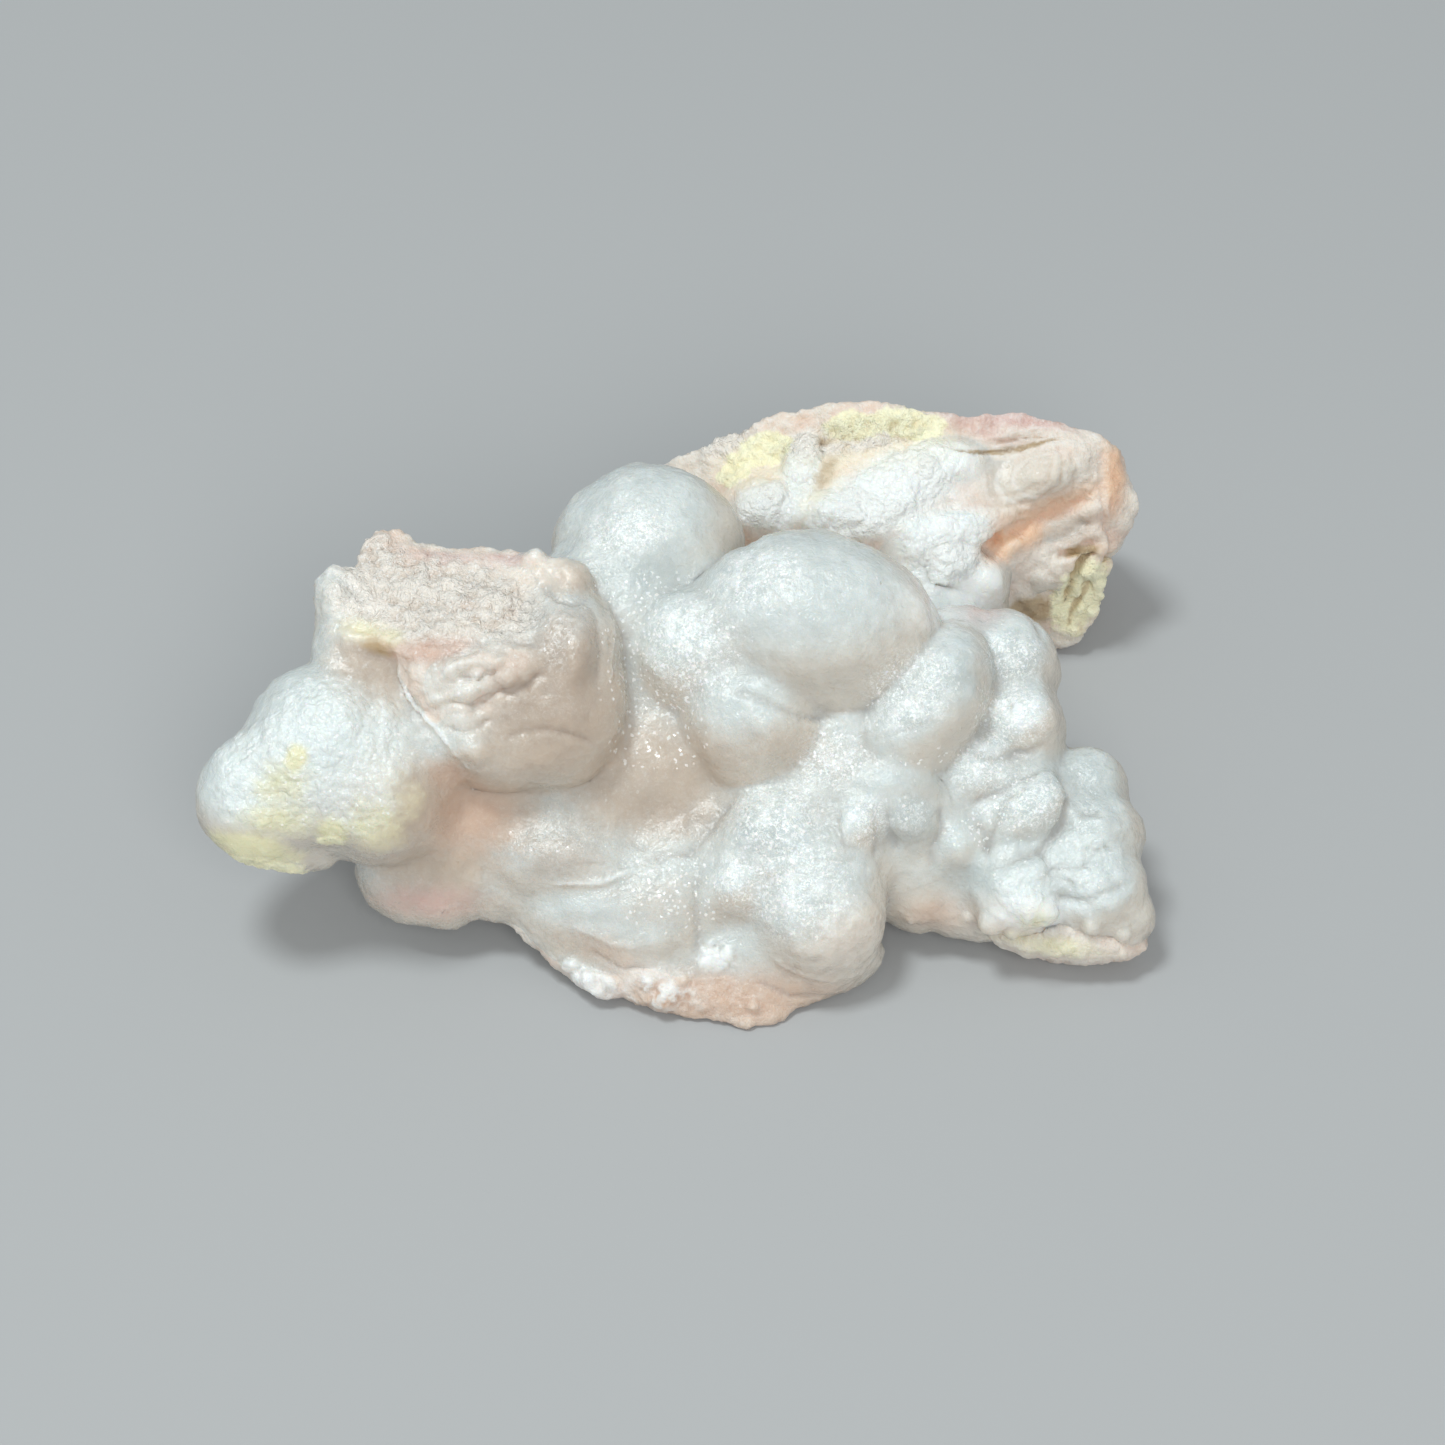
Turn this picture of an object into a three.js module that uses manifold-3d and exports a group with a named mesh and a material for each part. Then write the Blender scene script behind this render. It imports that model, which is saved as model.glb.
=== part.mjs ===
// A botryoidal pink opal: one natural stone, grown as a mass of fused round lobes on broken pink opal.
// Millimetres, +Z up. The stone lies on the plane z = 0, and the origin is under the middle of its box.
//
// The shape is described as it is seen from the front and 45 degrees above. A place has three numbers:
// right and up across the line of sight, and near towards the eye.

import * as THREE from "three";
import { ConvexGeometry } from "three/addons/geometries/ConvexGeometry.js";
import { ImprovedNoise } from "three/addons/math/ImprovedNoise.js";
import { mergeVertices } from "three/addons/utils/BufferGeometryUtils.js";
import Module from "manifold-3d";

const wasm = await Module();
wasm.setup();

// Driving dimensions
const SIGHT_ELEVATION = THREE.MathUtils.degToRad(45);
const EYE_DISTANCE = 164;
const SIGHT_HEIGHT = 11; // height of the point that the line of sight meets, above the ground
const LOBE_SAG = 0.12; // how far a facet may lie inside the round lobe that it stands for
const BROKEN_SAG = 0.25; // the same for broken opal, which has wider facets
const MOST_DETAIL = 9;
const WAIST_LOBES = 14;
const GROUND_SIZE = 80;

// Directions across and along the line of sight, in the stone's own frame
const ACROSS = new THREE.Vector3(1, 0, 0);
const UPWARD = new THREE.Vector3(0, Math.sin(SIGHT_ELEVATION), Math.cos(SIGHT_ELEVATION));
const TOWARDS = new THREE.Vector3(0, -Math.cos(SIGHT_ELEVATION), Math.sin(SIGHT_ELEVATION));
const SIGHT_AXIS = new THREE.Vector3(0, 0, 1); // the line of sight, among right, up and near
const SIGHT = new THREE.Matrix4().makeBasis(ACROSS, UPWARD, TOWARDS).setPosition(0, 0, SIGHT_HEIGHT);

// What is further away looks smaller, so a place and a size grow with their distance from the eye.
function spread(near) {
  return (EYE_DISTANCE - near) / EYE_DISTANCE;
}

function placeSeen(right, up, near) {
  const k = spread(near);
  return new THREE.Vector3(right * k, up * k, near).applyMatrix4(SIGHT);
}

const noise = new ImprovedNoise();

function roughness(point, wavelength) {
  const p = point.clone().divideScalar(wavelength);
  const broad = noise.noise(p.x, p.y, p.z);
  const fine = noise.noise(2.3 * p.x + 5.1, 2.3 * p.y, 2.3 * p.z);
  return broad + 0.45 * fine;
}

// Triangles for a ball whose facets stay within sag of it
function detailFor(radius, sag) {
  const edge = Math.sqrt(8 * radius * sag);
  const faces = (4 * Math.PI * radius * radius) / (0.433 * edge * edge);
  return THREE.MathUtils.clamp(Math.round(Math.sqrt(faces / 20)) - 1, 1, MOST_DETAIL);
}

// A ball with three half widths or, with square above 2, a blockier form. rough is the height of its
// unevenness, and grain is how far apart that lies.
function form({ at, size, square = 2, rough = 0, grain = 2.5, sag = LOBE_SAG }) {
  const geometry = new THREE.IcosahedronGeometry(1, detailFor(Math.max(...size), sag));
  const position = geometry.attributes.position;
  const halfWidths = new THREE.Vector3(...size).addScalar(sag / 2);
  const middle = new THREE.Vector3(...at);
  const p = new THREE.Vector3();
  for (let i = 0; i < position.count; i++) {
    const out = new THREE.Vector3().fromBufferAttribute(position, i);
    const sum = Math.abs(out.x) ** square + Math.abs(out.y) ** square + Math.abs(out.z) ** square;
    p.copy(out).multiplyScalar(sum ** (-1 / square)).multiply(halfWidths);
    if (rough) p.addScaledVector(out, rough * roughness(p.clone().add(middle), grain));
    position.setXYZ(i, p.x, p.y, p.z);
  }
  return geometry;
}

// A form whose place and half widths are given along x, y and z
function boulder(options) {
  return form({ sag: BROKEN_SAG, ...options }).translate(...options.at);
}

// A form whose place and half widths are given as they are seen. lean turns it about the line of sight.
function lump({ lean = 0, ...options }) {
  const [right, up, near] = options.at;
  const k = spread(near);
  const turn = new THREE.Quaternion().setFromAxisAngle(SIGHT_AXIS, THREE.MathUtils.degToRad(lean));
  const place = new THREE.Vector3(right * k, up * k, near);
  const fit = new THREE.Matrix4().compose(place, turn, new THREE.Vector3(k, k, 1));
  return form(options).applyMatrix4(fit).applyMatrix4(SIGHT);
}

// A round lobe, with one radius or three
function lobe(right, up, near, size, lean = 0) {
  const radii = Array.isArray(size) ? size : [size, size, size];
  return lump({ at: [right, up, near], size: radii, lean });
}

// A broken block: the hull of its corners, each given as it is seen
function block(corners) {
  return new ConvexGeometry(corners.map((c) => placeSeen(...c)));
}

function solidOf(geometry) {
  const bare = new THREE.BufferGeometry();
  bare.setAttribute("position", geometry.getAttribute("position"));
  if (geometry.index) bare.setIndex(geometry.index);
  const merged = mergeVertices(bare, 1e-4);
  return new wasm.Manifold(
    new wasm.Mesh({
      numProp: 3,
      vertProperties: merged.attributes.position.array,
      triVerts: new Uint32Array(merged.index.array),
    }),
  );
}

function fuse(geometries) {
  return geometries.map(solidOf).reduce((whole, piece) => whole.add(piece));
}

// The big smooth domes in the middle of the front
function domes() {
  return [
    lobe(4.65, 4.95, -1.5, [6.1, 4.6, 4.7], -8), // crown dome
    lobe(1.5, 0.5, -1.6, 3.8), // belly under the crown
    lobe(-3.7, 8.05, -6, 4.85), // back dome
    lobe(-1.45, 3.55, -1.8, [3.2, 3.2, 3.3]), // shoulder left of the crown
    lobe(-5.1, 5.1, -4.4, [4.6, 4.8, 4]), // plateau under the back dome
    lobe(-4.9, 1.4, -4.6, [4.2, 4, 4]), // the same plateau where it runs down
    lobe(-3.7, -2.15, -4.5, [4.8, 4.7, 4.7]), // smooth belly, low in the middle
  ];
}

// The pair of balls that stand out to the left
function leftBalls() {
  return [
    lobe(-23, -3.65, 1.2, [3.3, 3.3, 3.1]),
    lobe(-19.6, -1.65, 0.6, [4.65, 4.6, 4.2]),
    lobe(-17.2, -3.25, 0.4, [3.9, 3.9, 3.8]),
    lobe(-21.6, -6.1, 0.2, [2.3, 1.2, 1.6], -15),
    lump({ at: [-24.6, -5.6, 0.9], size: [1.6, 0.8, 1.3], lean: -42, rough: 0.15, grain: 1.2 }),
  ];
}

// The broken cap that stands on the upper left, with the clear ball at its right
function cap() {
  return [
    // top face, left half up to the peak
    block([
      [-19.6, 4.4, 1.8],
      [-18.9, 6.9, -0.2],
      [-17.9, 8.7, -0.9],
      [-17.2, 9.65, -1.4],
      [-16.3, 9.6, -1.6],
      [-14.3, 8.9, -1.7],
      [-13, 5, 2.1],
      [-14.6, 4, 2.9],
      [-16.4, 3.6, 3],
      [-18.6, 3.8, 2.4],
      [-18.8, 3.6, -2],
      [-17.6, 7, -5],
      [-13.5, 6, -5.5],
      [-14, 0.5, -3],
    ]),
    // top face, right half
    block([
      [-14.9, 9, -1.7],
      [-11.2, 8.4, -1.5],
      [-9.3, 8.6, -1],
      [-8.1, 6.6, 0.3],
      [-8.3, 5.2, 1.7],
      [-9.6, 4.7, 2.4],
      [-11.6, 5, 2.5],
      [-13.1, 5.2, 2.5],
      [-15, 4, 2.9],
      [-9, 6.4, -5],
      [-14, 6.4, -5],
      [-9, 1, -2],
      [-14, 1, -2],
    ]),
    // the lump under the ridge, with its sharp left edge
    block([
      [-16.3, 3.6, 3.1],
      [-15.9, 1.8, 3.2],
      [-15, 0.5, 3.1],
      [-13.9, -0.8, 2.8],
      [-12.8, -2, 2.4],
      [-11.8, -2.3, 2],
      [-13.4, 4, 3.2],
      [-11, 4.3, 3.1],
      [-9.3, 3.4, 2.9],
      [-9.8, 1.8, 3.6],
      [-11.6, 0, 3.3],
      [-13, 2, 4],
      [-12, 3, 4.1],
      [-15.5, 3, -1],
      [-12, -2, -1],
      [-9, 2, -1],
    ]),
    lobe(-10.4, 2.95, 2.5, [1.75, 1.5, 1.5]),
    lobe(-12.7, 2.7, 2.9, [1.7, 1.1, 1.3], 15),
    lobe(-12.6, -0.65, 1.9, [1.5, 1.8, 1.9], -12),
    lobe(-17.6, 2.85, -0.4, [2.8, 3.4, 3]), // clear lobe at the left
    lobe(-16, 0.6, -0.4, [2.6, 2.4, 2.4]),
    lobe(-16.9, 1, 1.6, 0.85),
    lobe(-19.5, 6.2, 0.4, [0.95, 1.6, 1.3]),
    lobe(-9.4, 8.15, -0.2, 0.75),
    lobe(-7.75, 7.35, 0.2, 0.95),
    lobe(-8.85, 0.85, 0, [4.1, 4.1, 3.8]), // clear ball
    lobe(-7.95, 3.35, 0.2, [2.9, 3.4, 3.2]),
    lobe(-8.2, 3.3, 1.7, [1.8, 2.3, 2]),
  ];
}

// The skirt of smaller lobes along the lower front
function skirt() {
  return [
    lobe(-4.5, -8, -2.8, [5.6, 3.4, 2.8], -12), // low swells that the small lobes rise from
    lobe(4.5, -4.6, -2.8, [5.6, 3.4, 3.4], -10),
    lobe(9.3, -6.4, -3, [3.6, 3.2, 2.8]),
    lobe(-10.85, -4.4, -2.9, [3.6, 3.4, 3]),
    lobe(-14.6, -7.3, -2.8, [3.75, 3.05, 2.6]),
    lobe(-10.6, -8, -2.6, [2.4, 1.9, 2]),
    lobe(-7.85, -6.9, -1.2, [4.2, 2.1, 2.1], -10),
    lobe(-6.1, -9.9, -1.6, [4, 2.4, 2.2], -20),
    lobe(-3.1, -9.1, -1.3, [3.4, 3, 2.3]),
    lobe(-1.2, -6.2, -2.2, [3.4, 2.4, 2.2]),
    lobe(0.55, -8.15, 0, 1.7),
    lobe(4.8, -9.3, -0.4, [3.4, 3.45, 3]), // the round ball at the front
    lobe(2.3, -5.6, -0.4, [2.6, 2.3, 2.4], 30),
    lobe(3.9, -7, -0.2, 2.4),
    lobe(5.3, -2.5, -1.9, [3.4, 2.6, 2.6], -20),
    lobe(6, -0.4, -1.9, [2.4, 2, 2.4]),
    lobe(12, -7.2, -2.8, [2.2, 2, 2]),
    lobe(1.2, -11, -1.2, [2, 1.6, 1.6]),
    lobe(6.8, -5.1, 0.5, 1.2),
    lobe(6.5, -7.4, -0.8, [1.8, 2.4, 2]),
    lump({ at: [-6.4, -13.2, -0.9], size: [1.6, 0.7, 1], lean: -24, rough: 0.2, grain: 1.2 }),
    lump({ at: [-3.4, -13.1, -0.6], size: [2, 0.9, 1.1], lean: -12, rough: 0.2, grain: 1.2 }),
    lump({ at: [-0.2, -11.6, -1], size: [1, 0.8, 1.1], rough: 0.2, grain: 1.2 }),
  ];
}

// The lobes that step down to the right of the crown
function rightSlope() {
  return [
    lobe(10.15, 0.85, -1.2, [4.3, 2.8, 3], 55),
    lobe(7.9, -3.4, -0.8, 2.1),
    lobe(11.65, 3.6, -4, 2.3),
    lobe(13.9, 2.85, -4.4, [3, 2.7, 2.8]),
    lobe(14.65, -0.65, -3.6, [2.6, 3.1, 2.8]),
    lobe(12.65, -2.4, -2.2, 2.3),
    lobe(14.65, -4.15, -2.2, [3.1, 2.1, 2.3], 30),
    lobe(12.5, -3.6, -3.8, [4.6, 3.4, 3.2]),
    lobe(12.6, 0.6, -5, [3.6, 4, 3.2]),
    lobe(11.9, -6.15, -1.4, 1.4),
    lobe(9.1, -5, -0.8, 1.75),
  ];
}

// The low wing at the far right, and the pink rim between it and the front ball
function wing() {
  return [
    lobe(18, -3.3, -3.4, 2.15),
    lobe(18.4, -5.65, -2.4, 2.5),
    lobe(17.1, -7.2, -1.2, 1.6),
    lobe(18.65, -8.4, -1.6, [2.6, 2.4, 2.3]),
    lobe(14.9, -8.15, -1.4, [2.8, 2.5, 2.3]),
    lobe(20.1, -9.7, -1.8, 1.5),
    lobe(17.4, -6.6, -3.2, [3, 3.6, 2.9]),
    lump({ at: [17, -10.3, -2.4], size: [4.3, 1.4, 2], lean: -6, square: 2.8, rough: 0.2 }),
    lobe(9.7, -8.3, -3, [2, 2.1, 2]),
    lobe(12.6, -8.9, -3, [3.2, 2, 2], -6),
  ];
}

// The broken block of opal at the back right
function backBlock() {
  return [
    // its long crest
    block([
      [-3.1, 12.95, -14.4],
      [1.1, 14.7, -12.9],
      [2.95, 15.5, -12.4],
      [6.85, 16.2, -12],
      [8.45, 15.9, -12],
      [11.65, 15.4, -12.3],
      [12, 9, -13],
      [3, 9.2, -12.4],
      [-1, 9.4, -13],
      [-2, 6, -18],
      [13, 4.5, -17],
      [12, 12, -20.5],
      [4, 13, -20],
      [2, 6, -25],
      [13, 6, -26],
    ]),
    // its right end, with the flat face that was broken off
    block([
      [10.9, 15.35, -12.4],
      [14.8, 15.65, -12.7],
      [17.5, 14.95, -13.1],
      [18.9, 14.5, -13.2],
      [19.3, 14, -13.1],
      [19.2, 10.6, -13.3],
      [19.95, 13.7, -14.4],
      [20.7, 11.3, -15.3],
      [20.4, 9.6, -15.7],
      [19.5, 8.6, -15.5],
      [16, 10.2, -13.5],
      [13, 10, -13.8],
      [12, 8, -17],
      [18.5, 12, -20.5],
      [12, 12.6, -20.5],
      [12, 7, -25.5],
      [18, 7, -24.5],
    ]),
    // the band under the orange hollow
    block([
      [14.6, 9, -15.3],
      [16.4, 9.4, -14.1],
      [19.2, 10.6, -13.6],
      [19.3, 8.6, -14.5],
      [17.6, 7.9, -14.4],
      [15.5, 7.2, -15],
      [14.4, 5.4, -16.2],
      [15.9, 4, -18.8],
      [17, 7, -21],
      [14, 7, -21],
    ]),
    // the yellow tip that it stands on
    block([
      [16, 6.7, -15.9],
      [17.4, 7.6, -15.3],
      [19.5, 8.1, -15.7],
      [19.15, 6.4, -16.8],
      [18.9, 5.3, -17.7],
      [17.9, 4.2, -18.6],
      [17, 3.65, -19.2],
      [16.3, 3.5, -19.4],
      [15.9, 4, -19],
      [18, 8, -21],
      [16, 6, -21.5],
    ]),
  ];
}

// The white lobes that grew over the front of the block
function blockLobes() {
  return [
    lobe(4, 12.4, -12.8, [1.7, 1.7, 1.6]),
    lobe(9.25, 11.85, -12.8, [4, 1.9, 2.2], 25),
    lobe(6.8, 10, -12.4, [3.6, 2.2, 2.6]),
    lobe(2.2, 10.6, -12.6, [2.4, 1.8, 2.2]),
    lobe(10.85, 8.65, -13.2, [2.6, 2.5, 2.6]),
    lobe(12.4, 5.95, -14.4, [2, 1.9, 2]),
    lobe(9.9, 6.1, -13.6, 2.4),
    lobe(16, 12.5, -13.4, [2.9, 1.5, 1.6], 24),
    lobe(16.55, 7.9, -15.2, [1.5, 1.3, 1]),
  ];
}

// Lobes round the waist between the domes and the block, where the stone is turned from the eye
function waistLobes() {
  const lobes = [];
  for (let i = 0; i < WAIST_LOBES; i++) {
    const turn = (i / WAIST_LOBES) * 2 * Math.PI;
    const radius = 2.2 + 0.6 * Math.cos(5 * i);
    const at = [3 + 8.6 * Math.cos(turn), 12 + 5.4 * Math.sin(turn), 5.2 + 1.4 * Math.sin(3 * i)];
    lobes.push(boulder({ at, size: [radius, radius, radius], sag: LOBE_SAG }));
  }
  return lobes;
}

// The broken opal inside, which the lobes grew on
function core() {
  return [
    boulder({ at: [1, 5, 3], size: [11, 7, 4.5], square: 2.6, rough: 0.5 }),
    boulder({ at: [3, 12, 4], size: [9.5, 6.5, 5], square: 2.6, rough: 0.5 }),
    boulder({ at: [8, 19.5, 6], size: [10.5, 5, 6.8], square: 2.6, rough: 0.8, grain: 5 }),
    boulder({ at: [-10.5, 4.5, 9.5], size: [5.5, 4.5, 5.5], square: 2.4, rough: 0.5 }),
    block([
      [-11.1, -10.1, -1.9],
      [-9.5, -11.9, -1.5],
      [-7.35, -13.4, -1.2],
      [-3.35, -14.8, -0.6],
      [0.65, -15.75, 0.1],
      [2.6, -15.4, -0.2],
      [4.9, -14.2, -0.8],
      [6.9, -13, -1.2],
      [7.9, -11.4, -1.8],
      [-5.5, -12.2, -0.5],
      [-1, -13.2, 0.2],
      [3.6, -12.8, 0],
      [-9, -7, -2.5],
      [7, -7, -2.5],
      [-6, -8, -9],
      [7, -8, -9],
      [0, -12, -4],
    ]),
  ];
}

function belowGround() {
  const ground = new THREE.BoxGeometry(GROUND_SIZE, GROUND_SIZE, GROUND_SIZE);
  return ground.translate(0, 0, -GROUND_SIZE / 2);
}

function stone() {
  const grown = fuse([
    ...core(),
    ...domes(),
    ...leftBalls(),
    ...cap(),
    ...skirt(),
    ...rightSlope(),
    ...wing(),
    ...backBlock(),
    ...blockLobes(),
    ...waistLobes(),
  ]);
  return grown.subtract(solidOf(belowGround()));
}

function geometryOf(solid) {
  const { numProp, numVert, vertProperties, triVerts } = solid.getMesh();
  const positions = new Float32Array(numVert * 3);
  for (let i = 0; i < numVert; i++) {
    positions.set(vertProperties.subarray(i * numProp, i * numProp + 3), i * 3);
  }
  const geometry = new THREE.BufferGeometry();
  geometry.setAttribute("position", new THREE.BufferAttribute(positions, 3));
  geometry.setIndex(new THREE.BufferAttribute(new Uint32Array(triVerts), 1));
  return geometry;
}

// Brings the origin under the middle of the stone
function centred(geometry) {
  geometry.computeBoundingBox();
  const { min, max } = geometry.boundingBox;
  geometry.translate(-(min.x + max.x) / 2, -(min.y + max.y) / 2, -min.z);
  geometry.computeVertexNormals();
  return geometry;
}

const opal = new THREE.MeshStandardMaterial({ color: 0xe6d8d6, roughness: 0.5, metalness: 0 });

const group = new THREE.Group();
const pinkOpal = new THREE.Mesh(centred(geometryOf(stone())), opal);
pinkOpal.name = "pink_opal";
group.add(pinkOpal);

export default group;
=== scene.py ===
"""A botryoidal pink opal: cool white lobes that grew over broken pink opal, with a pale yellow crust.

A place on the stone is given as it is seen from the front and 45 degrees above, in millimetres: right and
up across the line of sight, and near towards the eye. Lengths are millimetres until a mesh is made.
"""

import math

import bmesh
import bpy
import numpy as np
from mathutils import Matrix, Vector
from mathutils.bvhtree import BVHTree


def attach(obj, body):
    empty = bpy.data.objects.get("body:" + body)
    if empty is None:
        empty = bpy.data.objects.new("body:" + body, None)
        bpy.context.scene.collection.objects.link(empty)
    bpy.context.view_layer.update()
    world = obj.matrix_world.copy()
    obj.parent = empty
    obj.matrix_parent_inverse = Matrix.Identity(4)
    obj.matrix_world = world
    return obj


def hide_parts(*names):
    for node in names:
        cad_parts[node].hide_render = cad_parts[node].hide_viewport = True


MM = 0.001

# The line of sight, which the shape and the picture share
SIGHT_ELEVATION = math.radians(45)
SIGHT_POINT = np.array((1.768, -6.747, 11.0))
ACROSS = np.array((1.0, 0.0, 0.0))
UPWARD = np.array((0.0, math.sin(SIGHT_ELEVATION), math.cos(SIGHT_ELEVATION)))
TOWARDS = np.array((0.0, -math.cos(SIGHT_ELEVATION), math.sin(SIGHT_ELEVATION)))
EYE_DISTANCE = 164.0
EYE = SIGHT_POINT + EYE_DISTANCE * TOWARDS
PICTURE_WIDTH = 72.25  # what the picture takes in across the sight point
SENSOR_WIDTH = 36.0

# The stone's skin
VOXEL = 0.17
VOXEL_ROUNDS = 6  # how often the steps that the voxels leave are smoothed
VOXEL_PUSH = 0.52  # what undoes the shrinking of each round
MOST_TRIANGLES = 196000
LOBE_DETAIL = 4
LOBE_TRIM = 0.04  # how far a lobe stays inside the size given for it
MERGE_REACH = 1e-7  # metres between doubled points of the solid
FUSING_REACH = 4  # how far from a lobe it still fuses, in its own fusing
MOST_REACH = 6.0  # where the reach to a lobe is cut off
SNAP_REACH = 0.5  # how far from a lobe the skin is drawn on to it
SNAP_ROUNDS = 5

# Patches, rises and lines on the skin
HALF_FADE = 0.7  # how fast a patch fades, so that a half of it is left at its half widths
PATCH_DEPTH = 1.2  # how deep a patch is, as a share of its larger half width
RISE_DEPTH = 1.5  # the same for a rise
RISE_SPREAD = 1.3  # where a rise ends, in its half widths
MELT_SPREAD = 1.6  # how much of a melted place is melted in full
MELT_ROUNDS = 130
LINE_STEP = 0.12
LINE_SPREAD = 4  # how far from a line it is still worked out, in its half widths
LINE_TAPER = 6.0  # how fast a line grows from its ends
LINE_END = 0.15  # how much of a line is left at its ends
FULL_LINE = 0.25  # the height from which a line's tone is at its full strength
SHARP_LINE = 0.13  # the half width up to which an edge is sharp

# What the finish reads from the shape
SKYWARD = np.array((-0.24, -0.16, 0.957))  # the way that the painted sky light comes from: skin that faces it is painted cool white over its frost
BROAD_ROUNDS = 90  # how often the shape is smoothed to find its hollows
RINGS_MIDDLE = (16.3, 12.4)
RINGS_LEAN = 12
RINGS_FLATNESS = 1.6


def size_at(near):
    """What a length of 1 that is seen there measures, when it is that near."""
    return (EYE_DISTANCE - near) / EYE_DISTANCE


def seen(right, up, near):
    """The point in the stone's frame that is seen there."""
    return SIGHT_POINT + right * size_at(near) * ACROSS + up * size_at(near) * UPWARD + near * TOWARDS


def leaning(lean):
    """The directions right and up, turned by lean degrees about the line of sight."""
    turn = math.radians(lean)
    right = math.cos(turn) * ACROSS + math.sin(turn) * UPWARD
    up = math.cos(turn) * UPWARD - math.sin(turn) * ACROSS
    return right, up


def lobe(right, up, near, size, lean=0.0):
    """A round lobe, as its middle and its three half widths in columns."""
    half_right, half_up, half_near = size if isinstance(size, tuple) else (size, size, size)
    across, upward = leaning(lean)
    axes = (half_right * size_at(near) * across, half_up * size_at(near) * upward, half_near * TOWARDS)
    return seen(right, up, near), np.column_stack(axes)


# The lobes of each growth: right, up, near, half widths and lean
DOMES = [
    lobe(4.65, 4.95, -1.5, (6.1, 4.6, 4.7), -8),
    lobe(1.5, 0.5, -1.6, 3.8),
    lobe(-3.7, 8.05, -6, 4.85),
    lobe(-1.45, 3.55, -1.8, (3.2, 3.2, 3.3)),
    lobe(-5.1, 5.1, -4.4, (4.6, 4.8, 4)),
    lobe(-4.9, 1.4, -4.6, (4.2, 4, 4)),
    lobe(-3.7, -2.15, -4.5, (4.8, 4.7, 4.7)),
]

LEFT_BALLS = [
    lobe(-23, -3.65, 1.2, (3.3, 3.3, 3.1)),
    lobe(-19.6, -1.65, 0.6, (4.65, 4.6, 4.2)),
    lobe(-17.2, -3.25, 0.4, (3.9, 3.9, 3.8)),
    lobe(-21.6, -6.1, 0.2, (2.3, 1.2, 1.6), -15),
]

CAP_LOBES = [
    lobe(-10.6, 2.9, 2.0, (2.3, 1.7, 1.6), 10),
    lobe(-12.9, 2.3, 2.2, (2.4, 1.8, 1.6), 20),
    lobe(-12.6, -0.65, 1.9, (1.5, 1.8, 1.9), -12),
    lobe(-17.6, 2.85, -0.4, (2.8, 3.4, 3)),
    lobe(-16, 0.6, -0.4, (2.6, 2.4, 2.4)),
    lobe(-16.9, 1, 1.6, 0.85),
    lobe(-19.3, 6.1, 0.3, (1.15, 1.8, 1.4)),
    lobe(-9.4, 8.15, -0.4, 0.75),
    lobe(-7.75, 7.15, 0, (1.4, 1.2, 0.95)),
    lobe(-8.85, 0.85, 0, (4.1, 4.1, 3.8)),
    lobe(-7.95, 3.35, 0.2, (2.9, 3.4, 3.2)),
    lobe(-8.2, 3.3, 1.7, (1.8, 2.3, 2)),
]

SKIRT_LOBES = [
    lobe(-4.5, -8, -2.8, (5.6, 3.4, 2.8), -12),
    lobe(4.5, -4.6, -2.8, (5.6, 3.4, 3.4), -10),
    lobe(9.3, -6.4, -3, (3.6, 3.2, 2.8)),
    lobe(-10.85, -4.4, -2.9, (3.6, 3.4, 3)),
    lobe(-14.6, -7.3, -2.8, (3.75, 3.05, 2.6)),
    lobe(-10.6, -8, -2.6, (2.4, 1.9, 2)),
    lobe(-7.85, -6.9, -1.2, (4.2, 2.1, 2.1), -10),
    lobe(-6.1, -9.9, -1.6, (4, 2.4, 2.2), -20),
    lobe(-3.1, -9.1, -1.3, (3.4, 3, 2.3)),
    lobe(-1.2, -6.2, -2.2, (3.4, 2.4, 2.2)),
    lobe(0.55, -8.15, 0, 1.7),
    lobe(4.8, -9.3, -0.4, (3.4, 3.45, 3)),
    lobe(2.3, -5.6, -0.4, (2.6, 2.3, 2.4), 30),
    lobe(3.9, -7, -0.2, 2.4),
    lobe(5.3, -2.5, -1.9, (3.4, 2.6, 2.6), -20),
    lobe(6, -0.4, -1.9, (2.4, 2, 2.4)),
    lobe(12, -7.2, -2.8, (2.2, 2, 2)),
    lobe(1.2, -11, -1.2, (2, 1.6, 1.6)),
    lobe(6.8, -5.1, 0.5, 1.2),
    lobe(6.5, -7.4, -0.8, (1.8, 2.4, 2)),
]

SLOPE_LOBES = [
    lobe(10.15, 0.85, -1.2, (4.3, 2.8, 3), 55),
    lobe(7.9, -3.4, -0.8, 2.1),
    lobe(11.65, 3.6, -4, 2.3),
    lobe(12.7, 0.9, -3.3, (1.7, 2.4, 2.2)),
    lobe(13.9, 2.85, -4.4, (3, 2.7, 2.8)),
    lobe(14.65, -0.65, -3.6, (2.6, 3.1, 2.8)),
    lobe(12.65, -2.4, -2.2, 2.3),
    lobe(14.65, -4.15, -2.2, (3.1, 2.1, 2.3), 30),
    lobe(12.5, -3.6, -3.8, (4.6, 3.4, 3.2)),
    lobe(12.6, 0.6, -5, (3.6, 4, 3.2)),
    lobe(11.9, -6.15, -1.4, 1.4),
    lobe(9.3, -4.9, -1.0, (1.7, 1.6, 1.8)),
    lobe(9.1, -3, -0.6, (1.5, 1.1, 1.5)),
    lobe(15.4, -4.2, -1.2, (2.1, 1.7, 1.9), 25),
    lobe(14.9, 0, -2.2, (1.8, 1.7, 2)),
]

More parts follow.
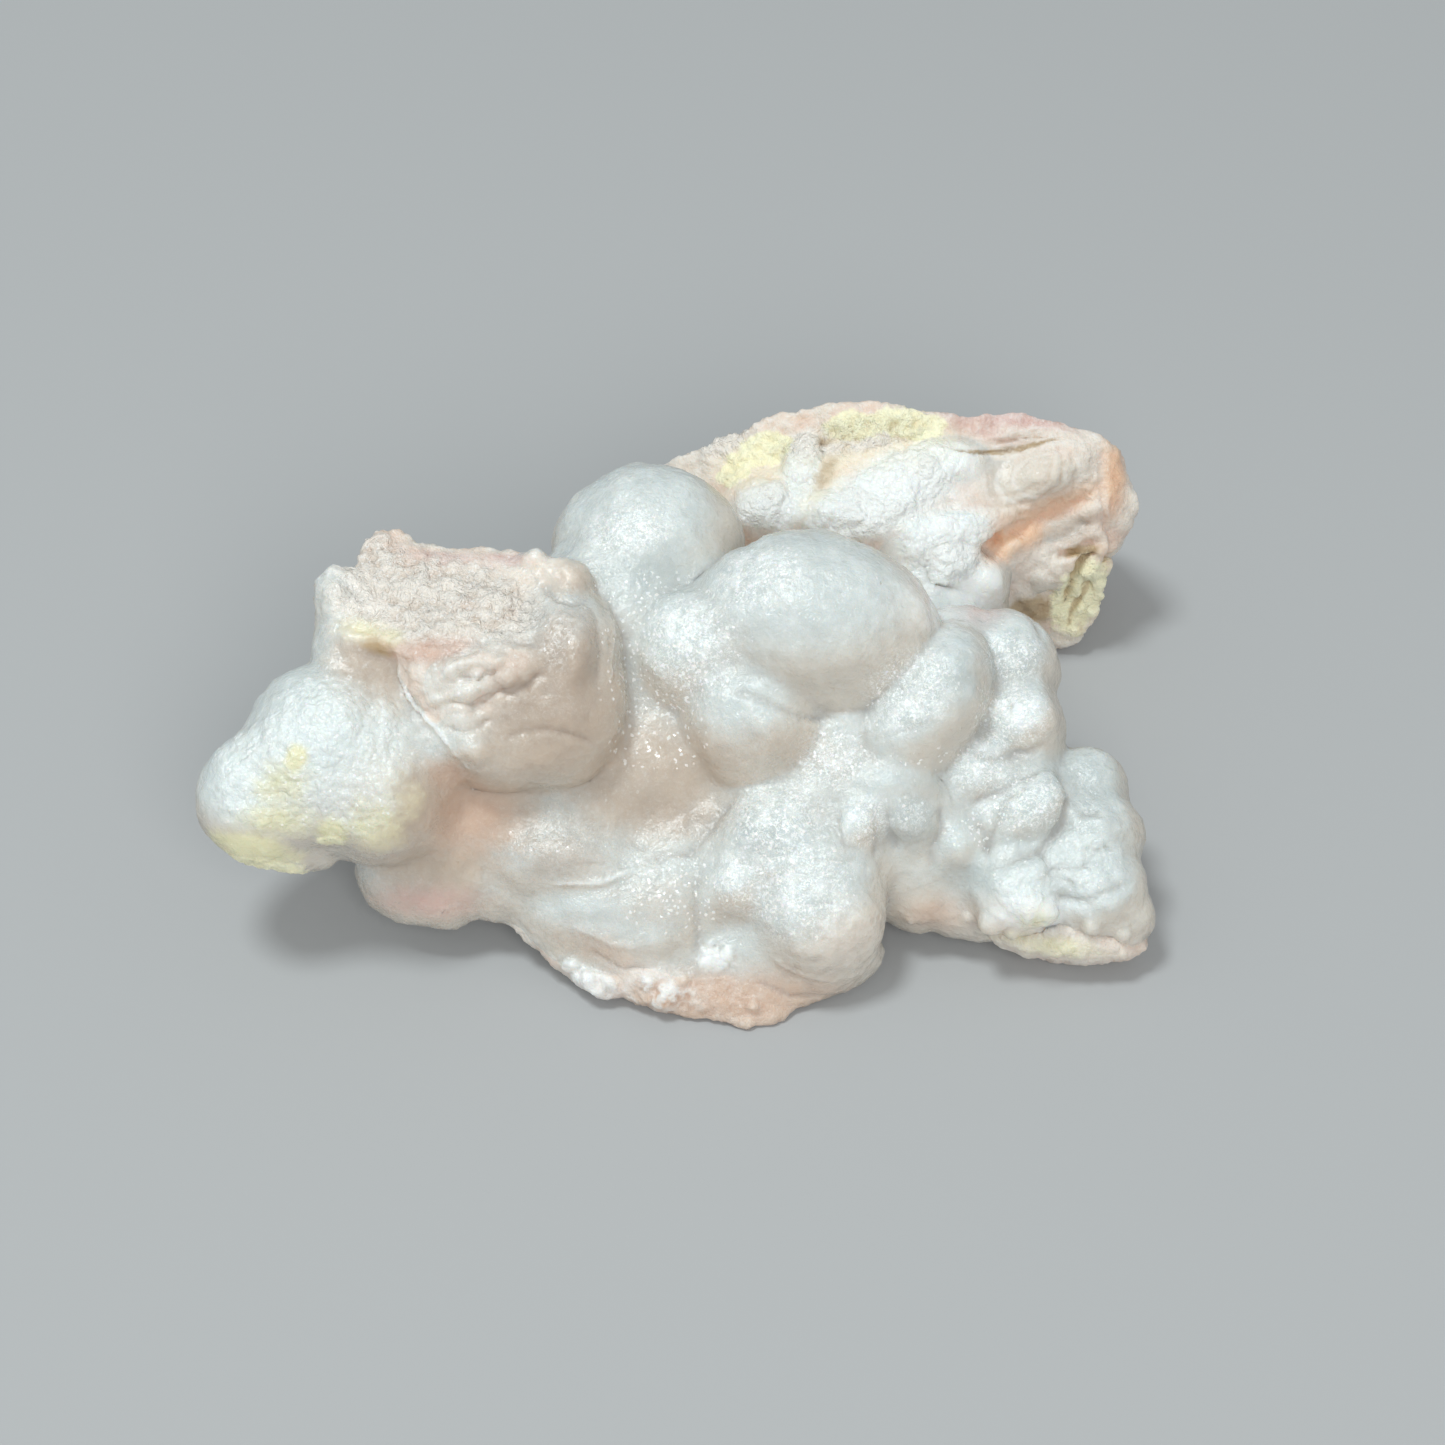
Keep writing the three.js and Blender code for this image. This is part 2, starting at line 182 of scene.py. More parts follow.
WING_LOBES = [
    lobe(18, -3.3, -3.4, 2.15),
    lobe(18.4, -5.65, -2.4, 2.5),
    lobe(17.1, -7.2, -1.2, 1.6),
    lobe(18.65, -8.4, -1.6, (2.6, 2.4, 2.3)),
    lobe(14.9, -8.15, -1.4, (2.8, 2.5, 2.3)),
    lobe(20.1, -9.7, -1.8, 1.5),
    lobe(17.4, -6.6, -3.2, (3, 3.6, 2.9)),
    lobe(9.7, -8.3, -3, (2, 2.1, 2)),
    lobe(12.6, -8.9, -3, (3.2, 2, 2), -6),
]

BLOCK_LOBES = [
    lobe(3.9, 12.5, -12.9, (1.2, 2, 1.6), -14),
    lobe(2.8, 10.4, -12.9, (2.2, 1.5, 2)),
    lobe(5.6, 10.2, -12.5, (2.4, 1.5, 2.2)),
    lobe(8.1, 11.3, -12.7, (2.9, 1.7, 2.1), 27),
    lobe(11, 12.8, -13, (2.2, 1.4, 1.8), 12),
    lobe(8.8, 9.2, -12.8, (2.3, 1.6, 2.2)),
    lobe(10.9, 9.3, -13.1, (2.7, 1.5, 2.2), 8),
    lobe(12.4, 6.9, -14, (1.9, 1.9, 2)),
    lobe(10.2, 7.2, -13.3, (2, 2, 2.1)),
    lobe(12.9, 5.3, -14.5, (1.4, 1.5, 1.6)),
    lobe(9.9, 5.6, -13.6, 2.2),
    lobe(14.2, 12, -13.9, (2.6, 1.2, 1.4), 14),
    lobe(16.3, 12.5, -14.2, (1.7, 1.6, 1.3), 10),
    lobe(17.2, 9.9, -15, (2.2, 0.7, 1), 16),
    lobe(16.2, 7.7, -15.7, (1.2, 1.1, 1)),
]


def waist_lobes():
    """Lobes round the waist, where the stone is turned from the eye."""
    count, half_length, half_depth, height = 14, 8.6, 5.4, 5.2
    middle = SIGHT_POINT * (1, 1, 0)
    found = []
    for i in range(count):
        turn = i / count * math.tau
        right = 3 + half_length * math.cos(turn)
        back = 12 + half_depth * math.sin(turn)
        up = height + 1.4 * math.sin(3 * i)
        radius = 2.2 + 0.6 * math.cos(5 * i)
        found.append((middle + (right, back, up), np.eye(3) * radius))
    return found


# Swells that fill the stone out between the lobes
SWELLS = [
    lobe(-2.6, -11.2, -2.2, (5.6, 2.2, 2.2), -20),
    lobe(3.6, -12.4, -1.8, (4.6, 2, 2), 14),
    lobe(-18.4, 5, -0.6, (1.8, 2.4, 1.8)),
    lobe(0.4, -8.6, -3, (7.5, 3.6, 3), -8),
    lobe(9, -4, -3.6, (5, 4.2, 3.6)),
    lobe(1.4, 3.4, -2.6, (4.4, 3.8, 3.6), -20),
    lobe(15.6, -6.4, -3, (4.6, 3.4, 2.8), -20),
    lobe(8, 10.2, -14, (5, 3.2, 2.4), 10),
    lobe(-7.4, -10.4, -2.8, (3.4, 1.8, 1.8), -38),
    lobe(-13.4, -3.4, -1.6, (2.4, 2.2, 2)),
    lobe(-14, -1.2, 0.8, (1.9, 2, 1.9)),
    lobe(-11, -1.6, 1, (2.2, 1.8, 2)),
    lobe(-7.6, -4.2, -1.6, (2.6, 1.8, 1.8)),
    lobe(-13.8, -5.8, -1.2, (1.9, 1.7, 1.6)),
]

# How widely the lobes of each growth run into their neighbours
GROWTHS = (
    (0.24, DOMES),
    (0.3, LEFT_BALLS),
    (0.25, CAP_LOBES),
    (0.26, SKIRT_LOBES),
    (0.22, SLOPE_LOBES),
    (0.22, WING_LOBES),
    (0.3, BLOCK_LOBES),
    (0.4, SWELLS),
    (0.35, waist_lobes()),
)
LOBES = [(*one, fusing) for fusing, growth in GROWTHS for one in growth]


# Small rises and hollows of the skin: right, up, half width, half height, lean and height
RISES = [
    # cap
    (-12.4, -1.1, 1.6, 1.2, 10, 0.15),
    (-16.9, 0.6, 0.6, 0.9, 10, 0.2),
    (-7.45, 3.4, 0.85, 1.9, -8, 0.4),
    (-10.1, 3, 1.2, 1.1, 20, 0.35),
    (-9.4, 8.2, 0.6, 0.45, 0, 0.25),
    (-13.6, 2.4, 1.7, 0.45, 28, 0.22),
    (-11.9, 3.4, 1.1, 0.4, 32, 0.2),
    (-14.1, 1.25, 1.4, 0.35, 15, 0.18),
    (-11.1, 5.95, 1.1, 0.6, -10, 0.15),
    (-16.9, 9.1, 0.6, 0.5, 0, 0.15),
    (-19.5, 6.1, 0.6, 1.2, 5, 0.2),
    (-13.5, 2.7, 0.9, 0.5, 20, 0.4),
    (-11.3, 3.1, 0.8, 0.5, 30, 0.4),
    (-12.6, 1.6, 0.9, 0.6, 0, 0.35),
    (-10.9, 2.2, 0.6, 0.5, 0, 0.3),
    (-13.1, 0.4, 0.6, 0.8, 0, 0.22),
    (-12.4, -1.3, 0.7, 0.7, 0, 0.3),
    (-7.75, 7.2, 1, 0.8, 0, 0.3),
    # skirt
    (0.6, -7.95, 1.3, 1.3, 0, 0.25),
    (6.45, -5.1, 0.85, 1.25, 8, 0.15),
    (9.2, -4.95, 1.4, 1, 0, 0.12),
    (11.7, -6.15, 0.9, 1.35, 0, 0.35),
    (2.4, -7.3, 0.5, 0.35, -20, 0.25),
    (3.4, -5.4, 1.2, 1, 0, 0.2),
    (-8.1, -6.4, 3, 1.1, 3, 0.25),
    (-6.6, -9.1, 2, 0.7, 0, 0.15),
    (-3.1, -10.9, 1.5, 0.9, 20, 0.15),
    # slope
    (12.6, 1.1, 0.8, 1.3, 10, 0.2),
    (11.9, 3.1, 1, 1, 0, 0.2),
    (15.9, 1.1, 0.8, 1.5, 0, 0.15),
    (13.9, 4.1, 1.5, 0.8, -15, 0.2),
    (6.1, -1.6, 1.3, 1.1, 0, 0.25),
    (7.9, -2.9, 1.1, 0.7, 0, 0.15),
    # wing
    (19.1, -5, 0.9, 0.7, -20, 0.2),
    (17.6, -5.9, 0.8, 0.6, 10, 0.2),
    (14.4, -8.4, 1.1, 1.3, 20, 0.25),
    (15.7, -7.45, 0.8, 0.7, 0, 0.2),
    # block
    (10.4, 13.3, 1.1, 0.7, 20, 0.2),
    (7.2, 11.9, 1.2, 0.8, 30, 0.2),
    (9.2, 10.9, 1.3, 0.7, 20, 0.18),
    (12.1, 9.9, 1.1, 0.7, 0, 0.25),
    (9.9, 8.7, 1.2, 0.7, 10, 0.2),
    (13.3, 7.4, 0.8, 0.9, 0, 0.2),
    (11.3, 7.7, 0.9, 0.7, 0, 0.2),
    (6, 10.4, 1, 0.6, 20, 0.2),
    (20.5, 10.9, 0.25, 0.7, 0, 0.25),
    (18.6, 7.5, 0.7, 0.5, 10, 0.25),
    (17.6, 4.6, 0.7, 0.8, 0, 0.3),
    # crust nodules
    (-2.9, -13.9, 0.7, 0.5, 0, 0.4),
    (-3.9, -13.8, 0.5, 0.4, 0, 0.3),
    (-2, -12.9, 0.4, 0.35, 0, 0.4),
    (-6.6, -12.8, 0.5, 0.35, 0, 0.3),
    (-7.5, -12.1, 0.45, 0.45, 0, 0.3),
    (-5.8, -13, 0.45, 0.45, 0, 0.3),
    (-0.6, -11.05, 0.3, 0.25, 20, 0.15),
    (0.3, -11.5, 0.45, 0.35, -20, 0.2),
    (-0.8, -12, 0.35, 0.25, 10, 0.15),
    (12.3, -9.7, 0.4, 0.3, 0, 0.25),
    (13.5, -9.95, 0.6, 0.6, 0, 0.6),
    (14.5, -10.4, 0.45, 0.45, 0, 0.4),
    (15.3, -9.1, 0.7, 0.7, 0, 0.5),
    (16.1, -9.3, 0.6, 0.6, 0, 0.4),
    (16.4, -10.4, 0.4, 0.4, 0, 0.35),
    (17.5, -10.45, 0.35, 0.35, 0, 0.3),
    (18.4, -10.1, 0.4, 0.4, 0, 0.3),
    (20.1, -10.6, 0.4, 0.4, 0, 0.3),
    (1.5, -14.2, 0.35, 0.35, 0, 0.4),
    (1.25, -15.05, 0.4, 0.4, 0, 0.3),
    (9.45, -9.9, 0.25, 0.25, 0, 0.2),
    # hollows and pits
    (13.6, 8.9, 0.9, 0.7, 20, -1.1),
    (14.6, 9.4, 1.1, 0.5, 25, -0.6),
    (18.4, 8.9, 0.8, 0.4, 10, -0.5),
    (16.2, 6.3, 0.8, 0.4, 10, -0.5),
    (14.3, 0.9, 0.25, 0.2, 0, -0.25),
    (-17.3, 3.4, 1, 0.5, -10, -0.2),
]

# Where the lobes have run together: right, up, half width, half height, lean and how far
MELTED = [
    (8, 10.5, 6, 4, 20, 0.12),
    (15.5, 11.8, 4, 2.2, 20, 0.25),
    (12.4, 6, 1.8, 1.8, 0, 0.3),
    (16.2, 7.7, 1.5, 1.4, 0, 1),
    (-7.9, 7.2, 1.4, 1.4, 0, 0.5),
    (-12.6, -0.8, 1.9, 2, 0, 0.7),
    (-12.6, 2.4, 3.2, 1.8, 18, 0.6),
    (-15, 0.8, 1.6, 3, -36, 0.9),
    (-9.6, 8.3, 0.9, 0.8, 0, 0.8),
    (-10, -5.4, 2.8, 1.1, 0, 0.8),
    (-1, -5.2, 2.6, 1.2, 20, 0.8),
    (-19.3, 6.1, 1.2, 1.9, 0, 0.5),
    (-16.9, 1, 1.1, 1.1, 0, 1),
    (0.5, -8.2, 2, 2, 0, 0.7),
    (-3, -12.5, 6, 2.4, -10, 0.8),
    (2, -4, 6, 1.6, -15, 0.25),
    (8.2, -5.2, 3.4, 1.8, 0, 0.5),
    (-1.2, -4.2, 1.8, 1.4, 20, 1),
    (-2.6, -4.8, 2.6, 1.3, 10, 1),
    (-9.4, -5.6, 2, 1.2, 0, 1),
    (11.9, -6.2, 1.5, 1.5, 0, 0.3),
]

# Folds, cracks and sharp edges: height, half width, and the places that each runs through
LINES = [
    # cap and clear ball
    (-0.3, 0.3, [(-13.4, 4.8), (-12.4, 5), (-11.1, 4.5), (-10, 4.1), (-8.9, 4.1)]),
    (-0.15, 0.22, [(-10.9, 6.6), (-9.9, 6.5), (-9.2, 5.95), (-9.4, 5.1), (-10.4, 4.6)]),
    (-0.12, 0.2, [(-11.9, 6.1), (-10.9, 6.2), (-10.1, 5.8), (-10.6, 5.2)]),
    (-0.14, 0.15, [(-11.6, 5.5), (-10.6, 5.6), (-9.9, 5.2), (-10.2, 4.6), (-11.4, 4.7)]),
    (-0.12, 0.15, [(-12.8, 5.3), (-11.8, 5), (-10.9, 5), (-10.4, 5.2)]),
    (-0.12, 0.15, [(-14.4, 6.9), (-13.2, 6.4), (-12.2, 6.6), (-11.1, 7.1)]),
    (-0.12, 0.15, [(-16.6, 6.2), (-15.3, 5.6), (-14.2, 5.6), (-13.1, 5.4)]),
    (-0.22, 0.22, [(-9.1, 6.9), (-8.3, 6.2), (-7.4, 5.95), (-6.5, 6.3)]),
    (0.25, 0.35, [(-19.6, 4.5), (-18.1, 4.1), (-16.4, 4), (-14.6, 4.5), (-13.2, 5.2)]),
    (
        0.2,
        0.13,
        [
            (-16.3, 3.6),
            (-16.05, 2.4),
            (-15.5, 1.2),
            (-14.6, 0.1),
            (-13.8, -0.8),
            (-12.7, -2.1),
            (-11.7, -2.4),
        ],
    ),
    (-0.3, 0.14, [(-14.4, 2.2), (-13.3, 2.4), (-12.3, 2.1), (-11.3, 2.6), (-10.4, 3.4)]),
    (-0.3, 0.14, [(-13.7, 1.1), (-12.5, 0.9), (-11.5, 1.4), (-10.6, 1.9)]),
    (-0.25, 0.14, [(-13.8, -0.2), (-12.9, -0.5), (-12.2, -0.2), (-11.5, 0.4)]),
    (-0.2, 0.12, [(-12.4, 3.6), (-12, 2.9), (-11.9, 2.2)]),
    (-0.22, 0.25, [(-11.3, 1.5), (-10.5, 1.5), (-9.6, 2), (-8.9, 2.7)]),
    (-0.15, 0.22, [(-13.6, 0.4), (-12.6, 0.55), (-11.5, 0.8)]),
    (-0.16, 0.2, [(-11, -0.9), (-10.2, -0.5), (-9.2, -0.35), (-8, -0.45), (-6.9, -0.75), (-6.1, -1.3)]),
    (0.14, 0.16, [(-6.7, 6.7), (-5.9, 5.8), (-5.5, 4.4), (-5.6, 2.7), (-5.9, 1.4)]),
    (-0.12, 0.16, [(-6.9, 6.1), (-6.3, 5.2), (-6, 3.6), (-6.3, 1.6)]),
    # domes
    (-0.18, 0.24, [(0.3, 1.7), (1.9, 1.2), (3.4, 0.45), (4.6, 0.15), (5.9, 0.3)]),
    (0.12, 0.4, [(2.1, 0.4), (2.25, -1.1), (2, -2.6)]),
    # fine creases of the slope and the skirt
    (-0.07, 0.12, [(7.3, -0.9), (9.1, -0.4), (10.9, 0.3)]),
    (-0.08, 0.1, [(8.6, 2), (9.6, 1.2), (10.4, 0.2)]),
    (-0.1, 0.1, [(12.2, -1.9), (13.2, -2.6), (13.5, -3.7)]),
    (-0.1, 0.1, [(10.2, -2.4), (11.2, -3.2), (11.6, -4.4)]),
    (-0.1, 0.1, [(13.9, -4.9), (15.1, -4.6), (16.2, -3.8)]),
    (-0.08, 0.1, [(3.4, -6.2), (4.6, -6.9), (6, -7), (6.9, -6.6)]),
    (-0.08, 0.1, [(2.6, -9.8), (4, -9.2), (5.6, -9), (7, -8.4)]),
    (-0.08, 0.1, [(-4.6, -5.9), (-3.2, -6.9), (-2.2, -8.4)]),
    # skirt
    (-0.2, 0.3, [(-1.25, -7.3), (-1.4, -8.9), (-1.2, -10.6), (-1.3, -12.1)]),
    (0.17, 0.13, [(-8.9, -8.1), (-7.4, -8), (-5.9, -7.9), (-4.1, -7.2)]),
    (0.12, 0.15, [(-7.4, -10.2), (-5.6, -11), (-3.8, -11.2)]),
    (-0.15, 0.15, [(-6.8, -11.4), (-5, -12.2), (-3.2, -12.3)]),
    (-0.15, 0.15, [(1.6, -12.9), (3.4, -13.7), (5.6, -13.6)]),
    (-0.12, 0.13, [(-8.6, -7.2), (-7.2, -7), (-5.6, -7.1)]),
    (-0.15, 0.25, [(7.6, -4.15), (7.7, -5.6), (7.6, -6.95)]),
    # wing
    (-0.3, 0.3, [(13.7, -7.2), (15.9, -6.45), (17, -5.15), (17.4, -3.6), (16.75, -1.9)]),
    (-0.25, 0.25, [(16, -6.3), (16.4, -7.3), (17.9, -7.3), (18.6, -6.7)]),
    (-0.2, 0.25, [(16.4, -8.6), (18.4, -9), (19.4, -8.4), (20.6, -7.9)]),
    (-0.2, 0.25, [(17.6, -4.6), (18.6, -4.45), (19.75, -5.4)]),
    (-0.2, 0.25, [(13.1, -6.9), (14.1, -3.9), (15.9, -2.6)]),
    # block
    (-0.15, 0.25, [(5, 11.4), (6.2, 12.8), (7.6, 13.7), (9.1, 14.1)]),
    (-0.12, 0.25, [(8.1, 10), (9.3, 10.5), (10.8, 10.8), (12.4, 10.9)]),
    (-0.5, 0.2, [(16.6, 8.3), (17.6, 8.5), (18.6, 8.8)]),
    (-0.35, 0.2, [(18.4, 7.6), (18.1, 6.4), (17.4, 5.4), (17.2, 4.3)]),
    (-0.2, 0.25, [(10.1, 8), (10.4, 6.9), (12.1, 6.6)]),
    (-0.16, 0.16, [(16.7, 14.1), (17.05, 13), (16.9, 11.9), (16, 11.1), (14.1, 10.8), (12.6, 10.9)]),
    (-0.12, 0.16, [(17.25, 13.9), (17.7, 12.8), (17.5, 11.5), (16.4, 10.6), (14.5, 10.4)]),
    (-0.12, 0.16, [(16.2, 13.9), (16.5, 13), (16.2, 12), (14.9, 11.4), (13.1, 11.4)]),
    (-0.22, 0.11, [(11.3, 13.8), (12.6, 13.5), (14.1, 13.55), (15.6, 14), (17.4, 14.25)]),
    (-0.15, 0.1, [(13.4, 13.9), (14.9, 14.2), (16.4, 14.3)]),
    (0.2, 0.25, [(13.1, 14.1), (14.6, 14.5), (16.1, 14.8), (17.6, 14.4), (18.6, 14.1)]),
    (-0.5, 0.45, [(13.9, 9.2), (15.4, 9.9), (17.1, 10.6), (18.9, 11.5)]),
    (-0.7, 0.35, [(18.75, 8.7), (17.9, 7.7), (17.4, 6.6), (17, 5.5)]),
    (-0.2, 0.2, [(19.05, 14.1), (19, 12.1), (19.1, 10.4), (19.5, 8.9)]),
    (-0.25, 0.25, [(14.4, 7.6), (14.6, 6.1), (15.6, 4.9), (16.1, 3.9)]),
    # between the lobes of the skirt, the slope and the wing
    (-0.2, 0.3, [(-4.1, -6.9), (-1.6, -6.6), (-0.1, -4.6), (1.1, -3.4)]),
    (-0.22, 0.25, [(12.4, -1.4), (13.4, -1.8), (14.4, -1.7), (16.2, -1.2)]),
    (-0.25, 0.25, [(12.3, -4.1), (13.6, -3.6), (14.9, -2.8), (16.4, -2.2)]),
    (-0.2, 0.22, [(8.2, -4.1), (8.35, -5.3), (8.9, -6.5)]),
    (-0.2, 0.22, [(10.8, -4.2), (11, -5.3), (10.5, -6.5)]),
    (-0.15, 0.22, [(5.9, -4.3), (5.75, -5.2), (6.1, -6.2), (6.9, -6.4)]),
    (-0.15, 0.22, [(10.6, -7.4), (10.4, -6.3), (10.8, -5.2)]),
    (-0.15, 0.22, [(13.2, -6.6), (13.1, -5.6), (12.6, -4.9)]),
    (-0.15, 0.2, [(15.6, -7.8), (16.4, -7.6), (17.1, -7.9), (18, -7.9)]),
    (-0.15, 0.2, [(19.6, -6.7), (19.1, -6.2), (18.3, -6.4)]),
    (0.1, 0.18, [(2.15, -11.45), (3.4, -12.4), (5.4, -12.8), (6.9, -12.4), (7.9, -10.9)]),
]


# Meshes as arrays


def mesh_of(name, points, faces):
    """A mesh in metres from points in millimetres."""
    mesh = bpy.data.meshes.new(name)
    mesh.from_pydata((np.asarray(points) * MM).tolist(), [], np.asarray(faces).tolist())
    mesh.update()
    return mesh


def points_of(mesh):
    """The mesh's points in millimetres."""
    flat = np.empty(len(mesh.vertices) * 3, np.float32)
    mesh.vertices.foreach_get("co", flat)
    return flat.reshape(-1, 3).astype(float) / MM


def put_points(mesh, points):
    """Moves the mesh's points to these, in millimetres."""
    mesh.vertices.foreach_set("co", (points * MM).astype(np.float32).ravel())
    mesh.update()


def normals_of(mesh):
    """The way that the skin faces at each point."""
    flat = np.empty(len(mesh.vertices) * 3, np.float32)
    mesh.vertex_normals.foreach_get("vector", flat)
    return flat.reshape(-1, 3).astype(float)


def edges_of(mesh):
    """The two points that each edge joins."""
    flat = np.empty(len(mesh.edges) * 2, np.int32)
    mesh.edges.foreach_get("vertices", flat)
    return flat.reshape(-1, 2)


def evaluated(obj):
    """The object's mesh with its modifiers, as a plain mesh."""
    graph = bpy.context.evaluated_depsgraph_get()
    return bpy.data.meshes.new_from_object(obj.evaluated_get(graph))


def shown(name, mesh):
    """A new object with that mesh, in the scene."""
    obj = bpy.data.objects.new(name, mesh)
    bpy.context.scene.collection.objects.link(obj)
    return obj


def above_ground(points):
    """The points, with those under the ground lifted on to it."""
    points[:, 2] = np.maximum(points[:, 2], 0)
    return points


def unit_ball():
    """A ball of radius 1 mm, as points and faces."""
    ball = bmesh.new()
    bmesh.ops.create_icosphere(ball, subdivisions=LOBE_DETAIL, radius=1.0)
    points = np.array([v.co for v in ball.verts])
    faces = np.array([[v.index for v in f.verts] for f in ball.faces])
    ball.free()
    return points, faces


def neighbour_mean(values, edges, count):
    """Each point's mean over its neighbours, for one column or several."""
    columns = values.reshape(count, -1)
    a, b = edges[:, 0], edges[:, 1]
    share = np.bincount(a, minlength=count) + np.bincount(b, minlength=count)
    mean = np.empty_like(columns)
    for i in range(columns.shape[1]):
        column = columns[:, i]
        total = np.bincount(a, column[b], count) + np.bincount(b, column[a], count)
        mean[:, i] = total / np.maximum(share, 1)
    return mean.reshape(values.shape)


def relaxed(values, edges, rounds, push_back=0.0):
    """Values smoothed over the skin. push_back undoes the shrinking, for places."""
    count = len(values)
    for _ in range(rounds):
        values = values + 0.5 * (neighbour_mean(values, edges, count) - values)
        if push_back:
            values = values - push_back * (neighbour_mean(values, edges, count) - values)
    return values


def smooth_step(low, high, value):
    """0 below low, 1 above high and smooth between them."""
    t = np.clip((value - low) / (high - low), 0, 1)
    return t * t * (3 - 2 * t)


# The stone's skin


def trimmed(axes):
    """A lobe's half widths, each less the trim."""
    return axes * (1 - LOBE_TRIM / np.linalg.norm(axes, axis=0))


def solid_with_lobes(node):
    """The frame's solid with every lobe finely faceted, all in one mesh."""
    solid = bmesh.new()
    solid.from_mesh(node.data)
    bmesh.ops.remove_doubles(solid, verts=solid.verts, dist=MERGE_REACH)
    points = [np.array([v.co for v in solid.verts]) / MM]
    faces = [np.array([[v.index for v in f.verts] for f in solid.faces])]
    solid.free()
    ball_points, ball_faces = unit_ball()
    start = len(points[0])
    for middle, axes, _ in LOBES:
        points.append(above_ground(middle + ball_points @ trimmed(axes).T))
        faces.append(ball_faces + start)
        start += len(ball_points)
    return mesh_of("solid", np.concatenate(points), np.concatenate(faces))


def reach_to_lobes(points):
    """How far each point is outside the nearest lobe, and the step that takes it on to the fused lobes."""
    nearest = np.full(len(points), np.inf)
    total = np.full(len(points), 1e-30)
    inward = np.zeros_like(points)
    for middle, axes, fusing in LOBES:
        out = points - middle
        widest = np.linalg.norm(axes, axis=0).max() + FUSING_REACH * fusing
        close = np.flatnonzero((np.abs(out) < widest).all(1))
        back = np.linalg.inv(trimmed(axes))
        place = out[close] @ back.T
        unit = np.maximum(np.linalg.norm(place, axis=1), 1e-6)
        slope = place @ back / unit[:, None]
        steep = np.linalg.norm(slope, axis=1)
        reach = (unit - 1) / steep
        share = np.exp(-np.clip(reach, -MOST_REACH, MOST_REACH) / fusing)
        nearest[close] = np.minimum(nearest[close], reach)
        total[close] += share
        inward[close] -= slope * (share / steep / fusing)[:, None]
    inward /= total[:, None]
    square = np.maximum((inward**2).sum(1), 1.0)
    return nearest, inward * (-np.log(total) / square)[:, None]


def snapped(points):
    """Points near the lobes, moved on to the fused lobes, and how closely each belongs to them."""
    nearest = reach_to_lobes(points)[0]
    belongs = 1 - smooth_step(0.5 * SNAP_REACH, SNAP_REACH, np.abs(nearest))
    for _ in range(SNAP_ROUNDS):
        points = points + belongs[:, None] * reach_to_lobes(points)[1]
    return above_ground(points), belongs


def skin(node):
    """The stone's whole skin in small faces, and how closely each of its points belongs to the lobes."""
    obj = shown("skin", solid_with_lobes(node))
    remesh = obj.modifiers.new("Skin", "REMESH")
    remesh.mode = "VOXEL"
    remesh.voxel_size = VOXEL * MM
    mesh = evaluated(obj)
    bpy.data.objects.remove(obj)
    points, belongs = snapped(relaxed(points_of(mesh), edges_of(mesh), VOXEL_ROUNDS, VOXEL_PUSH))
    put_points(mesh, points)
    return mesh, belongs


def tree_of(mesh):
    """What finds the point of the skin that is seen at a place."""
    corners = np.empty(len(mesh.loops), np.int32)
    mesh.loops.foreach_get("vertex_index", corners)
    return BVHTree.FromPolygons([Vector(p) for p in points_of(mesh)], corners.reshape(-1, 4).tolist())


def touched(tree, right, up):
    """The point of the skin that is seen there, or the nearest one beside the stone's outline."""
    eye = Vector(EYE)
    aim = Vector(SIGHT_POINT + right * ACROSS + up * UPWARD)
    hit = tree.ray_cast(eye, (aim - eye).normalized())[0]
    return np.array(hit or tree.find_nearest(aim)[0])


def patch_square(points, tree, place, deepness):
    """How far out of a patch each point is, squared: 0 in its middle and 1 at its half widths."""
    right, up, half_right, half_up, lean = place
    across, upward = leaning(lean)
    out = points - touched(tree, right, up)
    depth = deepness * max(half_right, half_up)
    return (out @ across / half_right) ** 2 + (out @ upward / half_up) ** 2 + (out @ TOWARDS / depth) ** 2


def cover(points, tree, patches):
    """How much the patches cover each point: 1 in the middle of one, and a half at its half widths."""
    most = np.zeros(len(points))
    for patch in patches:
        strength = patch[5] if len(patch) > 5 else 1
        square = patch_square(points, tree, patch[:5], PATCH_DEPTH)
        most = np.maximum(most, strength * np.exp(-HALF_FADE * square))
    return most


def melted(points, edges, tree):
    """The points with the lobes smoothed into each other where they have run together."""
    keep = np.zeros(len(points))
    for *place, share in MELTED:
        keep = np.maximum(keep, share * np.clip(MELT_SPREAD * cover(points, tree, [place]), 0, 1))
    part = 0.5 * keep[:, None]
    for _ in range(MELT_ROUNDS):
        points = points + part * (neighbour_mean(points, edges, len(points)) - points)
    return points


def raised(points, normals, tree):
    """The points with each of the small rises and hollows."""
    height = np.zeros(len(points))
    for *place, rise in RISES:
        out = np.sqrt(patch_square(points, tree, place, RISE_DEPTH))
        height += rise * (0.5 + 0.5 * np.cos(math.pi * np.clip(out / RISE_SPREAD, 0, 1)))
    return points + height[:, None] * normals


def along(places):
    """Places close together on the path through these."""
    path = []
    for (right, up), (next_right, next_up) in zip(places, places[1:]):
        count = max(2, int(math.hypot(next_right - right, next_up - up) / LINE_STEP))
        for i in range(count):
            path.append((right + (next_right - right) * i / count, up + (next_up - up) * i / count))
    return path


